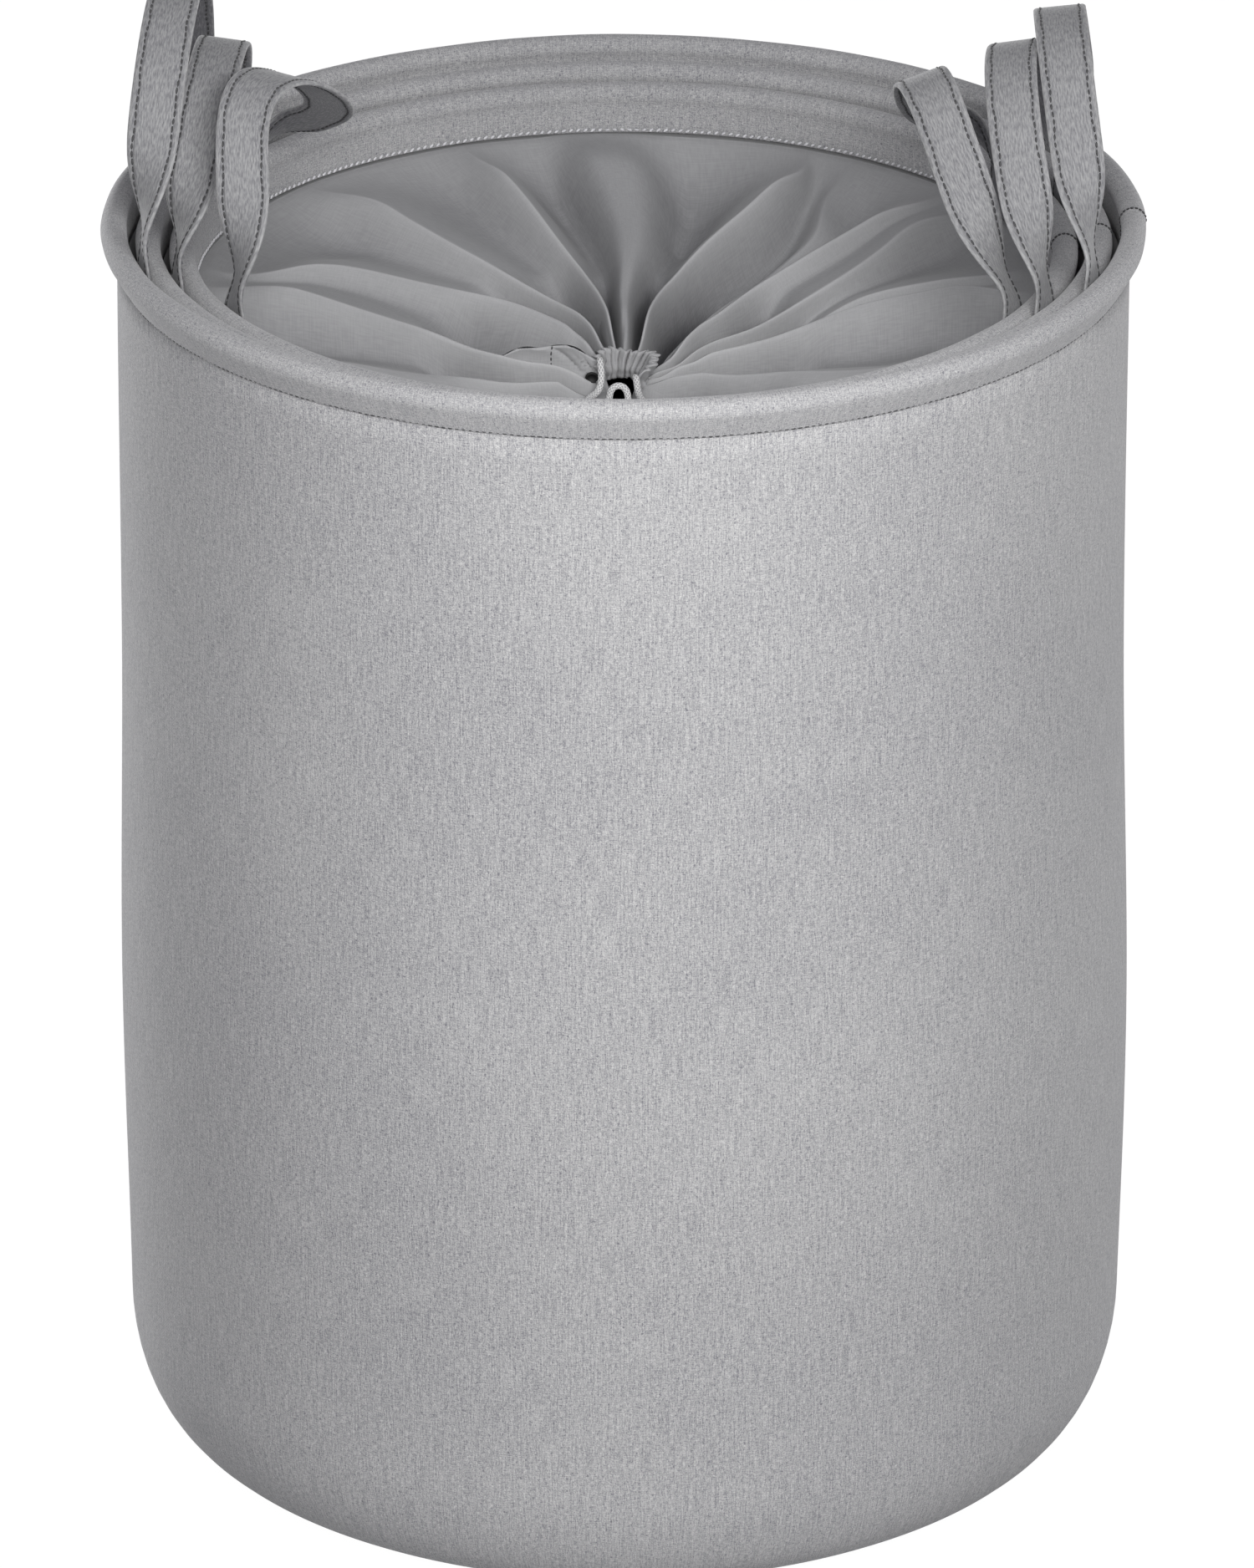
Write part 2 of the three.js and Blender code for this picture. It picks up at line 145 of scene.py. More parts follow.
def plain_object(name: str, mesh: bpy.types.Mesh) -> bpy.types.Object:
    """Links a mesh to the scene as an object at the origin.

    Args:
        name: Name of the object.
        mesh: Its mesh.

    Returns:
        The new object.
    """
    piece = bpy.data.objects.new(name, mesh)
    bpy.context.scene.collection.objects.link(piece)
    return piece


def grid_piece(
    name: str,
    points: np.ndarray,
    across: np.ndarray,
    along: np.ndarray,
    wrap_rows: bool = False,
    wrap_columns: bool = True,
    capped: bool = False,
) -> bpy.types.Object:
    """Makes a smooth mesh from a grid of points, with a UV map in metres.

    Args:
        name: Name of the piece.
        points: Grid of places, rows by columns by 3.
        across: U of each grid column line, rows by columns, one more where a side wraps.
        along: V of the same corners.
        wrap_rows: Joins the last row to the first.
        wrap_columns: Joins the last column to the first.
        capped: Closes the first and the last row with a face.

    Returns:
        The new object.
    """
    rows, columns = points.shape[:2]
    row_count = rows if wrap_rows else rows - 1
    column_count = columns if wrap_columns else columns - 1
    i, j = np.meshgrid(np.arange(row_count), np.arange(column_count), indexing="ij")
    corners = [(i, j), (i, j + 1), (i + 1, j + 1), (i + 1, j)]
    faces = np.stack([(a % rows) * columns + (b % columns) for a, b in corners], axis=-1)
    uv = np.stack([np.stack([across[a, b], along[a, b]], axis=-1) for a, b in corners], axis=2)
    polygons = faces.reshape(-1, 4).tolist()
    corner_uv = uv.reshape(-1, 2)
    if capped:
        ends = [list(range(columns))[::-1], list(range((rows - 1) * columns, rows * columns))]
        polygons += ends
        end_uv = [[across[0, c], along[0, c]] for c in ends[0]]
        end_uv += [[across[-1, c], along[-1, c]] for c in range(columns)]
        corner_uv = np.concatenate([corner_uv, np.array(end_uv)])
    mesh = bpy.data.meshes.new(name)
    mesh.from_pydata(points.reshape(-1, 3).tolist(), [], polygons)
    layer = mesh.uv_layers.new(name=UV_NAME)
    layer.data.foreach_set("uv", corner_uv.astype(np.float32).ravel())
    mesh.polygons.foreach_set("use_smooth", np.ones(len(polygons), dtype=bool))
    mesh.validate()
    return plain_object(name, mesh)


def turned_piece(
    name: str,
    profile: np.ndarray,
    angles: np.ndarray,
    shift: np.ndarray | None = None,
) -> bpy.types.Object:
    """Turns a closed (radius, height) profile about the upright axis.

    Args:
        name: Name of the piece.
        profile: Anticlockwise outline, points by 2.
        angles: Angles of the columns, rising, less than one turn.
        shift: Extra radius and height of each point, profile by angles by 2.

    Returns:
        The new object.
    """
    outline = np.repeat(profile[:, None, :], len(angles), axis=1)
    if shift is not None:
        outline = outline + shift
    places = ring_line(angles, outline[..., 0], outline[..., 1])
    travelled = distance_along(np.vstack([profile, profile[:1]]))
    turns = np.append(angles, angles[0] + FULL_TURN)
    widest = float(profile[:, 0].max())
    across = np.repeat((turns * widest)[None, :], len(profile) + 1, axis=0)
    along = np.repeat(travelled[:, None], len(turns), axis=1)
    return grid_piece(name, places, across, along, wrap_rows=True)


def ring_line(
    angle: np.ndarray | float, radius: np.ndarray | float, height: np.ndarray
) -> np.ndarray:
    """Places at the given angle, radius and height about the upright axis."""
    return np.stack([radius * np.cos(angle), radius * np.sin(angle), height], axis=-1)


def even_angles(count: int, dense_at: tuple[float, ...] = ()) -> np.ndarray:
    """Angles of a full turn, with extra ones close to each named angle.

    Args:
        count: Number of even steps.
        dense_at: Angles in radians that get more columns.

    Returns:
        Sorted angles from 0 up to one turn.
    """
    angles = set(np.round(np.arange(count) / count * FULL_TURN, 7))
    for centre in dense_at:
        for offset in (-0.9, -0.6, -0.42, -0.26, -0.12, 0.0, 0.12, 0.26, 0.42, 0.6, 0.9):
            angles.add(round((centre + math.radians(offset)) % FULL_TURN, 7))
    return np.array(sorted(angles))


def curve_through(knots: list[Pair], values: np.ndarray) -> np.ndarray:
    """Smooth curve through knots, read at the given values.

    Args:
        knots: Pairs of place and value, places rising.
        values: Places to read.

    Returns:
        The curve's value at each place.
    """
    x = np.array([k[0] for k in knots])
    y = np.array([k[1] for k in knots])
    slope = np.gradient(y, x)
    at = np.clip(np.searchsorted(x, values) - 1, 0, len(x) - 2)
    span = x[at + 1] - x[at]
    t = np.clip((values - x[at]) / span, 0.0, 1.0)
    a = (1 + 2 * t) * (1 - t) ** 2
    b = t * (1 - t) ** 2
    c = t * t * (3 - 2 * t)
    d = t * t * (t - 1)
    return a * y[at] + b * span * slope[at] + c * y[at + 1] + d * span * slope[at + 1]


# Materials


class NodeBoard:
    """A material with its nodes, and short ways to add more."""

    def __init__(self, name: str) -> None:
        """Starts a material with one Principled shader.

        Args:
            name: Name of the material.
        """
        self.material = bpy.data.materials.new(name)
        self.material.use_nodes = True
        self.tree = self.material.node_tree
        self.shader = self.tree.nodes["Principled BSDF"]

    def node(self, kind: str, **settings: object) -> bpy.types.Node:
        """Adds a node and sets its properties.

        Args:
            kind: Type of the node.
            settings: Properties to set, by name.

        Returns:
            The node.
        """
        made = self.tree.nodes.new(kind)
        for key, value in settings.items():
            setattr(made, key, value)
        return made

    def feed(self, socket: Socket, value: object) -> None:
        """Links a socket, or sets its value where a plain value is given.

        Args:
            socket: Input to feed.
            value: Output to link to it, or a plain value.
        """
        if isinstance(value, Socket):
            self.tree.links.new(value, socket)
        else:
            socket.default_value = value

    def cloth_place(self) -> Socket:
        """The piece's own UV, in metres of cloth."""
        return self.node("ShaderNodeUVMap", uv_map=UV_NAME).outputs["UV"]

    def object_place(self) -> Socket:
        """The piece's own Object coordinates."""
        return self.node("ShaderNodeTexCoord").outputs["Object"]

    def apart(self, place: Socket) -> tuple[Socket, Socket]:
        """The X and the Y of the given coordinates.

        Args:
            place: Coordinates to take apart.

        Returns:
            The X and the Y.
        """
        split = self.node("ShaderNodeSeparateXYZ")
        self.feed(split.inputs["Vector"], place)
        return split.outputs["X"], split.outputs["Y"]

    def mark(self, name: str) -> Socket:
        """A piece's own attribute."""
        return self.node("ShaderNodeAttribute", attribute_name=name).outputs["Fac"]

    def noise(
        self,
        place: Socket,
        scale: Triple,
        detail: float = 2.0,
        rough: float = 0.5,
        turn: float = 0.0,
    ) -> Socket:
        """Soft noise over the given coordinates.

        Args:
            place: Coordinates to read.
            scale: Grains in a metre, along each axis.
            detail: Levels of finer noise.
            rough: Strength of the finer levels.
            turn: Angle by which the pattern is turned, in radians.

        Returns:
            The noise, from 0 to 1.
        """
        mapping = self.node("ShaderNodeMapping")
        self.feed(mapping.inputs["Vector"], place)
        mapping.inputs["Scale"].default_value = scale
        mapping.inputs["Rotation"].default_value = (0.0, 0.0, turn)
        made = self.node("ShaderNodeTexNoise", noise_dimensions="3D")
        self.feed(made.inputs["Vector"], mapping.outputs["Vector"])
        made.inputs["Scale"].default_value = 1.0
        made.inputs["Detail"].default_value = detail
        made.inputs["Roughness"].default_value = rough
        return made.outputs["Fac"]

    def math(self, operation: str, a: object, b: object = 0.0, c: object = 0.0) -> Socket:
        """Adds a Math node.

        Args:
            operation: What the node works out.
            a: First value or socket.
            b: Second value or socket.
            c: Third value or socket.

        Returns:
            The result.
        """
        made = self.node("ShaderNodeMath", operation=operation)
        for socket, value in zip(made.inputs, (a, b, c)):
            self.feed(socket, value)
        return made.outputs["Value"]

    def total(self, *values: Socket) -> Socket:
        """Adds up values.

        Args:
            values: Sockets to add.

        Returns:
            Their sum.
        """
        result = values[0]
        for value in values[1:]:
            result = self.math("ADD", result, value)
        return result

    def mixture(self, a: Socket, part_a: float, b: Socket, part_b: float) -> Socket:
        """The sum of two values, each times its part."""
        return self.math("ADD", self.math("MULTIPLY", a, part_a), self.math("MULTIPLY", b, part_b))

    def spread(
        self, value: object, low: float, high: float, to_low: float = 0.0, to_high: float = 1.0
    ) -> Socket:
        """Maps one range to another with soft ends.

        Args:
            value: Value to map.
            low: Start of its range.
            high: End of its range.
            to_low: What the start becomes.
            to_high: What the end becomes.

        Returns:
            The mapped value.
        """
        made = self.node("ShaderNodeMapRange", interpolation_type="SMOOTHSTEP")
        self.feed(made.inputs["Value"], value)
        limits = {"From Min": low, "From Max": high, "To Min": to_low, "To Max": to_high}
        for key, number in limits.items():
            made.inputs[key].default_value = number
        return made.outputs["Result"]

    def colour(self, share: Socket, dark: tuple[float, ...], light: tuple[float, ...]) -> None:
        """Colours the surface between two colours.

        Args:
            share: 0 for the dark colour, 1 for the light one.
            dark: The dark colour.
            light: The light colour.
        """
        made = self.node("ShaderNodeMix", data_type="RGBA", blend_type="MIX")
        colours = [s for s in made.inputs if s.type == "RGBA"]
        self.feed(made.inputs["Factor"], share)
        self.feed(colours[0], dark)
        self.feed(colours[1], light)
        result = [s for s in made.outputs if s.type == "RGBA"][0]
        self.feed(self.shader.inputs["Base Color"], result)

    def bumped(self, height: Socket, strength: float, distance: float) -> None:
        """Gives the surface a bump.

        Args:
            height: Height of the pattern.
            strength: Share of the bump that shows.
            distance: Height of the bump in metres.
        """
        made = self.node("ShaderNodeBump")
        made.inputs["Strength"].default_value = strength
        made.inputs["Distance"].default_value = distance
        self.feed(made.inputs["Height"], height)
        self.feed(self.shader.inputs["Normal"], made.outputs["Normal"])

    def finish(self, roughness: object, **constants: float) -> bpy.types.Material:
        """Sets the surface's roughness and plain values.

        Args:
            roughness: Value or socket.
            constants: Values by input name, with _ for each space.

        Returns:
            The material.
        """
        self.feed(self.shader.inputs["Roughness"], roughness)
        for key, value in constants.items():
            self.shader.inputs[key.replace("_", " ")].default_value = value
        return self.material


def grey(value: float, warm: float = 0.0) -> tuple[float, float, float, float]:
    """A near grey colour, a little warmer or, below zero, more violet."""
    return (value * (1 + 0.5 * warm), value * (1 - 0.6 * abs(min(warm, 0.0))), value * (1 - warm), 1.0)


@dataclass(frozen=True)
class LinenFinish:
    """Heathered plain weave: slubby upright threads, finer cross threads, specks, soft clouds."""

    name: str
    tone: float
    pitch: float = 0.00135
    slub_length: float = 1 / 420
    long_slub_length: float = 1 / 60
    streak: float = 0.26
    cross: float = 0.14
    grain: float = 0.2
    speck: float = 0.5
    cloud: float = 0.05
    contrast: float = 0.48
    relief: float = 0.00022
    fuzz: float = 0.25

    def material(self) -> bpy.types.Material:
        """Builds the finish.

        Returns:
            The material.
        """
        board = NodeBoard(self.name)
        place = board.cloth_place()
        per = 1.0 / self.pitch
        slub_count = 1.0 / self.slub_length
        slubs = board.noise(place, (per * 2.6, slub_count, 1.0), 1.0)
        long_slubs = board.noise(place, (per * 1.9, 1.0 / self.long_slub_length, 1.0), 1.0)
        picks = board.noise(place, (slub_count, per * 2.6, 1.0), 1.0)
        grain = board.noise(place, (per * 3.0, per * 3.0, 1.0), 0.0)
        cloud = board.noise(place, (9.0, 7.0, 1.0), 3.0)
        flecks = board.noise(place, (1000.0, 760.0, 1.0), 0.0, 0.4)
        neps = board.noise(place, (950.0, 1000.0, 1.0), 0.0, 0.4, turn=0.4)
        streaks = board.mixture(slubs, 0.6, long_slubs, 0.4)
        warp_tone = board.spread(streaks, 0.3, 0.7, -self.streak, self.streak)
        weft_tone = board.spread(picks, 0.28, 0.72, -self.cross, self.cross)
        grain_tone = board.spread(grain, 0.25, 0.75, -self.grain, self.grain)
        clouds = board.spread(cloud, 0.25, 0.75, -self.cloud, self.cloud)
        dark_fleck = board.spread(flecks, 0.7, 0.82, 0.0, -self.speck)
        pale_nep = board.spread(neps, 0.71, 0.83, 0.0, self.speck * 0.8)
        tones = board.total(warp_tone, weft_tone, board.total(grain_tone, clouds))
        tones = board.math("ADD", tones, board.total(dark_fleck, pale_nep))
        dark = grey(self.tone * (1 - self.contrast), -0.06)
        light = grey(self.tone * (1 + self.contrast), 0.012)
        board.colour(board.math("ADD", tones, 0.5), dark, light)
        across, along = board.apart(place)
        warp = board.math("SINE", board.math("MULTIPLY", across, FULL_TURN * per))
        weft = board.math("SINE", board.math("MULTIPLY", along, FULL_TURN * per * 1.1))
        height = board.math("MULTIPLY_ADD", board.math("MULTIPLY", warp, weft), 0.14, streaks)
        board.bumped(board.math("MULTIPLY_ADD", picks, 0.5, height), 0.75, self.relief)
        return board.finish(
            board.spread(streaks, 0.2, 0.8, 0.94, 0.82),
            Specular_IOR_Level=0.22, Sheen_Weight=self.fuzz, Sheen_Roughness=0.55,
        )


@dataclass(frozen=True)
class LiningFinish:
    """Thin smooth closure cloth: a very fine weave, faint creases, painted highlights on its ridges and
    painted shade in its hollows.
    """

    name: str
    tone: float
    pitch: float = 0.00055
    thread_length: float = 1 / 160
    grain: float = 0.05
    cloud: float = 0.02
    contrast: float = 0.75
    crease: float = 0.0006
    painted_fold_light: float = 0.15

    def material(self) -> bpy.types.Material:
        """Builds the finish.

        Returns:
            The material.
        """
        board = NodeBoard(self.name)
        place = board.cloth_place()
        per, run = 1.0 / self.pitch, 1.0 / self.thread_length
        threads = board.noise(place, (per, run, 1.0))
        picks = board.noise(place, (run, per, 1.0))
        wrinkles = board.noise(place, (38.0, 12.0, 1.0), 4.0, 0.55, turn=0.35)
        cloud = board.noise(place, (11.0, 9.0, 1.0))
        weave = board.mixture(threads, 0.5, picks, 0.5)
        grain = board.spread(weave, 0.3, 0.7, -self.grain, self.grain)
        clouds = board.spread(cloud, 0.3, 0.7, 0.5 - self.cloud, 0.5 + self.cloud)
        share = board.math("ADD", grain, clouds)
        # Painted light: the fold attribute lightens ridges as painted highlight and darkens hollows as
        # painted shade.
        share = board.math("MULTIPLY_ADD", board.mark(FOLD_LIGHT_NAME), self.painted_fold_light, share)
        dark = grey(self.tone * (1 - self.contrast), -0.045)
        board.colour(share, dark, grey(self.tone * (1 + self.contrast), -0.005))
        height = board.math("MULTIPLY_ADD", board.math("ADD", threads, picks), 0.05, wrinkles)
        board.bumped(height, 0.6, self.crease)
        return board.finish(
            board.spread(wrinkles, 0.3, 0.7, 0.66, 0.78),
            Specular_IOR_Level=0.3, Sheen_Weight=0.08, Sheen_Roughness=0.4,
        )


@dataclass(frozen=True)
class StrapFinish:
    """Folded linen strap: slanted threads, pale folded edges, sunk stitch tracks, and an inner face that is
    darker, partly its raw side and partly painted shade.
    """

    name: str
    tone: float
    pitch: float = 0.0009
    half_width: float = STRAP_WIDTH / 2
    track: float = STRAP_TRACK
    track_half: float = 0.0011
    inner_raw_and_shade: float = 0.42

    def material(self) -> bpy.types.Material:
        """Builds the finish.

        Returns:
            The material.
        """
        board = NodeBoard(self.name)
        place = board.cloth_place()
        per = 1.0 / self.pitch
        upright = board.noise(place, (per * 1.5, 380.0, 1.0), 2.0, 0.6)
        slanted = board.noise(place, (per * 1.5, 240.0, 1.0), 2.0, 0.6, turn=0.9)
        cloud = board.noise(place, (60.0, 22.0, 1.0))
        threads = board.mixture(upright, 0.55, slanted, 0.45)
        aside = board.math("ABSOLUTE", board.apart(place)[0])
        off_track = board.math("ABSOLUTE", board.math("SUBTRACT", aside, self.track))
        near_track = board.spread(off_track, 0.0, self.track_half, 1.0, 0.0)
        edge = board.spread(aside, self.half_width - 0.0016, self.half_width + 0.0006)
        share = board.spread(threads, 0.3, 0.7, 0.14, 0.86)
        share = board.math("ADD", share, board.spread(cloud, 0.3, 0.7, -0.05, 0.05))
        share = board.math("SUBTRACT", share, board.math("MULTIPLY", near_track, 0.12))
        share = board.math("ADD", share, board.math("MULTIPLY", edge, 0.3))
        # Darker inner face: partly the strap's raw inner side, partly painted shade.
        share = board.math("MULTIPLY_ADD", board.mark(INSIDE_NAME), -self.inner_raw_and_shade, share)
        board.colour(share, grey(self.tone * 0.5, -0.06), grey(self.tone * 1.5))
        board.bumped(board.math("MULTIPLY_ADD", near_track, -0.9, threads), 0.8, 0.0003)
        return board.finish(
            0.9, Specular_IOR_Level=0.2, Sheen_Weight=0.25, Sheen_Roughness=0.5
        )


@dataclass(frozen=True)
class BraidFinish:
    """Pale braided cord: two sets of plaits that cross round the cord, with painted shade in the grooves
    between them.
    """

    name: str
    tone: float
    plait_step: float = 0.01248
    plaits: float = 6.0

    def material(self) -> bpy.types.Material:
        """Builds the finish.

        Returns:
            The material.
        """
        board = NodeBoard(self.name)
        place = board.cloth_place()
        across, along = board.apart(place)
        waves = FULL_TURN * self.plaits
        round_it = board.math("MULTIPLY", across, waves)
        onward = board.math("MULTIPLY", along, waves / self.plait_step)
        one = board.math("SINE", board.math("ADD", round_it, onward))
        other = board.math("SINE", board.math("SUBTRACT", round_it, onward))
        plait = board.spread(board.math("MAXIMUM", one, other), -0.4, 1.0)
        fibres = board.noise(place, (40.0, 2600.0, 1.0), 2.0, 0.6)
        # Grooves between the plaits are darker: painted shade between the strands.
        share = board.math("MULTIPLY_ADD", plait, 0.75, board.math("MULTIPLY", fibres, 0.25))
        board.colour(share, grey(self.tone * 0.45, -0.02), grey(self.tone * 1.12, 0.01))
        board.bumped(share, 0.9, 0.0004)
        return board.finish(0.8, Specular_IOR_Level=0.3, Sheen_Weight=0.2)


@dataclass(frozen=True)
class ThreadFinish:
    """Sewing thread: twisted filaments with a slight gloss."""

    name: str
    tone: float

    def material(self) -> bpy.types.Material:
        """Builds the finish.

        Returns:
            The material.
        """
        board = NodeBoard(self.name)
        twist = board.noise(board.object_place(), (2200.0, 2200.0, 2600.0), 2.0, 0.6, turn=0.6)
        share = board.spread(twist, 0.3, 0.7, 0.2, 0.8)
        board.colour(share, grey(self.tone * 0.7, -0.05), grey(self.tone * 1.3))
        board.bumped(twist, 0.5, 0.0001)
        return board.finish(0.6, Specular_IOR_Level=0.35)


@dataclass(frozen=True)
class RodFinish:
    """Plain round rod inside the rim, with faint drawing marks."""

    name: str
    tone: float

    def material(self) -> bpy.types.Material:
        """Builds the finish.

        Returns:
            The material.
        """
        board = NodeBoard(self.name)
        marks = board.noise(board.object_place(), (120.0, 120.0, 900.0), 3.0, 0.6)
        board.colour(marks, grey(self.tone * 0.9), grey(self.tone * 1.08))
        board.bumped(marks, 0.3, 0.0001)
        return board.finish(board.spread(marks, 0.3, 0.7, 0.38, 0.52))


def built_by(finish: object) -> bpy.types.Material:
    """A dataclass field that holds the finish's material."""
    return field(default_factory=finish.material)


@dataclass(frozen=True)
class Finishes:
    """Every finish of the nest, each built once."""

    wall: bpy.types.Material = built_by(LinenFinish("linen_wall", 0.425))
    rim: bpy.types.Material = built_by(LinenFinish("linen_rim", 0.43, streak=0.18))
    base: bpy.types.Material = built_by(LinenFinish("linen_base", 0.42))
    closure: bpy.types.Material = built_by(LiningFinish("closure_cloth", 0.37))
    strap: bpy.types.Material = built_by(StrapFinish("handle_strap", 0.29))
    cord: bpy.types.Material = built_by(BraidFinish("braided_cord", 0.85))
    dark_thread: bpy.types.Material = built_by(ThreadFinish("dark_thread", 0.06))
    painted_hole_shade: bpy.types.Material = built_by(ThreadFinish("painted_hole_shade", 0.005))
    pale_thread: bpy.types.Material = built_by(ThreadFinish("pale_thread", 0.75))
    rod: bpy.types.Material = built_by(RodFinish("rim_rod", 0.6))


# Stitches


@dataclass
class StitchRow:
    """Stitches set at an even pitch along one or more lines."""

    name: str
    lines: list[np.ndarray]
    material: bpy.types.Material
    pitch: float = 0.003
    length: float = 0.002
    thickness: float = 0.00055
    direction: Direction = Direction.RUNNING
    shortest: float = 0.86
    longest: float = 1.12
    seed: int = 7

    def carrier(self) -> bpy.types.Object:
        """Builds the lines that the stitches follow.

        Returns:
            An object of bare edges.
        """
        points: list[list[float]] = []
        edges: list[tuple[int, int]] = []
        for line in self.lines:
            start = len(points)
            points += line.tolist()
            edges += [(start + k, start + k + 1) for k in range(len(line) - 1)]
        mesh = bpy.data.meshes.new(self.name + "_line")
        mesh.from_pydata(points, edges, [])
        return plain_object(self.name + "_line", mesh)

    def tree(self) -> tuple[bpy.types.NodeTree, dict[str, str]]:
        """Builds the Geometry Nodes tree that sews one stitch at each step of a line.

        Returns:
            The tree, and the identifier of each named input.
        """
        tree = bpy.data.node_groups.new(self.name + "_sewing", "GeometryNodeTree")
        face = tree.interface
        face.new_socket("Line", in_out="INPUT", socket_type="NodeSocketGeometry")
        names = {}
        kinds = dict.fromkeys(("Pitch", "Stitch Length", "Thread Thickness", "Slant"), "Float")
        for title, kind in {**kinds, "Seed": "Int"}.items():
            made = face.new_socket(title, in_out="INPUT", socket_type="NodeSocket" + kind)
            names[title] = made.identifier
        face.new_socket("Stitches", in_out="OUTPUT", socket_type="NodeSocketGeometry")
        new, link = tree.nodes.new, tree.links.new
        entry, leave = new("NodeGroupInput"), new("NodeGroupOutput")
        to_curve = new("GeometryNodeMeshToCurve")
        steps = new("GeometryNodeResampleCurve")
        if hasattr(steps, "mode"):
            steps.mode = "LENGTH"
        tangent = new("GeometryNodeInputTangent")
        align = new("FunctionNodeAlignRotationToVector")
        align.axis = "X"
        turn = new("FunctionNodeRotateRotation")
        turn.rotation_space = "LOCAL"
        slant = new("ShaderNodeCombineXYZ")
        thread = new("GeometryNodeMeshUVSphere")
        thread.inputs["Segments"].default_value = 6
        thread.inputs["Rings"].default_value = 5
        thread.inputs["Radius"].default_value = 0.5
        shape = new("ShaderNodeCombineXYZ")
        vary = new("FunctionNodeRandomValue")
        vary.data_type = "FLOAT"
        floats = [s for s in vary.inputs if s.type == "VALUE" and s.enabled]
        floats[0].default_value, floats[1].default_value = self.shortest, self.longest
        longer = new("ShaderNodeMath")
        longer.operation = "MULTIPLY"
        place = new("GeometryNodeInstanceOnPoints")
        real = new("GeometryNodeRealizeInstances")
        dress = new("GeometryNodeSetMaterial")
        dress.inputs["Material"].default_value = self.material
        link(entry.outputs["Line"], to_curve.inputs["Mesh"])
        link(to_curve.outputs["Curve"], steps.inputs["Curve"])
        link(entry.outputs["Pitch"], steps.inputs["Length"])
        link(tangent.outputs["Tangent"], align.inputs["Vector"])
        link(align.outputs["Rotation"], turn.inputs["Rotation"])
        link(entry.outputs["Slant"], slant.inputs["Y"])
        link(slant.outputs["Vector"], turn.inputs["Rotate By"])
        link(entry.outputs["Seed"], vary.inputs["Seed"])
        link(entry.outputs["Stitch Length"], longer.inputs[0])
        link([s for s in vary.outputs if s.enabled and s.type == "VALUE"][0], longer.inputs[1])
        link(longer.outputs["Value"], shape.inputs["X"])
        link(entry.outputs["Thread Thickness"], shape.inputs["Y"])
        link(entry.outputs["Thread Thickness"], shape.inputs["Z"])
        link(steps.outputs["Curve"], place.inputs["Points"])
        link(thread.outputs["Mesh"], place.inputs["Instance"])
        link(turn.outputs["Rotation"], place.inputs["Rotation"])
        link(shape.outputs["Vector"], place.inputs["Scale"])
        link(place.outputs["Instances"], real.inputs["Geometry"])
        link(real.outputs["Geometry"], dress.inputs["Geometry"])
        link(dress.outputs["Geometry"], leave.inputs["Stitches"])
        return tree, names

    def build(self) -> bpy.types.Object:
        """Sews the row and keeps it as a plain mesh.

        Returns:
            The stitches, one object.
        """
        line = self.carrier()
        tree, names = self.tree()
        sewing = line.modifiers.new("sewing", "NODES")
        sewing.node_group = tree
        values = {
            "Pitch": self.pitch,
            "Stitch Length": self.length,
            "Thread Thickness": self.thickness,
            "Slant": self.direction.value,
            "Seed": self.seed,
        }
        for title, value in values.items():
            sewing[names[title]] = value
        graph = bpy.context.evaluated_depsgraph_get()
        mesh = bpy.data.meshes.new_from_object(line.evaluated_get(graph), depsgraph=graph)
        mesh.name = self.name
        bpy.data.objects.remove(line)
        if not mesh.materials:
            mesh.materials.append(self.material)
        mesh.polygons.foreach_set("use_smooth", np.ones(len(mesh.polygons), dtype=bool))
        LOG.info("%s: %d faces of thread", self.name, len(mesh.polygons))
        return plain_object(self.name, mesh)


# Hampers


@dataclass(frozen=True)
class Hamper:
    """Places of one hamper of the nest, counted from the outside."""

    name: str
    index: int
    rim_drop: float
    rim_radius: float = 0.2
    rim_top: float = 0.5
    nest_step: float = 0.013
    cloth: float = 0.0016
    clearance: float = 0.0003
    bead: float = 0.005
    hem_drop: float = 0.0157
    leaf_lap: float = 0.004
    corner_radial: float = 0.026
    corner_height: float = 0.048
    low_inset: float = 0.0035
    belly_inset: float = 0.002
    upper_inset: float = 0.005
    top_inset: float = 0.006
    wall_keep: float = 0.174
    cloth_leaves: float = math.radians(205.2)

    @property
    def rim(self) -> float:
        """Outer radius of the rim."""
        return self.rim_radius - self.index * self.nest_step

    @property
    def base(self) -> float:
        """Height of the underside."""
        return self.index * (self.cloth + self.clearance)

    @property
    def top(self) -> float:
        """Height of the rim's top."""
        return self.rim_top - self.rim_drop

    @property
    def seam(self) -> float:
        """Height of the seam between wall and rim."""
        return self.top - self.hem_drop

    @property
    def wall_outer(self) -> float:
        """Outer radius of the wall at the seam."""
        return self.rim - self.top_inset

    @property
    def leaf_inner(self) -> float:
        """Radius of the rim's inner leaf, on its inside."""
        return self.wall_outer - 2 * self.cloth - self.clearance

    @property
    def leaf_bottom(self) -> float:
        """Height of the inner leaf's lower edge."""
        return self.seam - self.leaf_lap

    @property
    def foot(self) -> float:
        """Radius at which the rounded foot starts."""
        return self.rim - self.low_inset - self.corner_radial

    @property
    def skin_start(self) -> float:
        """Angle on the bead at which the rim's straight outer leaf meets it."""
        out = self.wall_outer - (self.rim - self.bead)
        down = self.seam + self.clearance - (self.top - self.bead)
        return math.atan2(down, out) + math.acos(self.bead / math.hypot(out, down))

    @property
    def bead_middle(self) -> Pair:
        """Radius and height of the middle of the rim's bead."""
        return self.rim - self.bead, self.top - self.bead

    def body(self, part: str) -> str:
        """Name of one of the hamper's bodies."""
        return f"{self.name}_{part}"


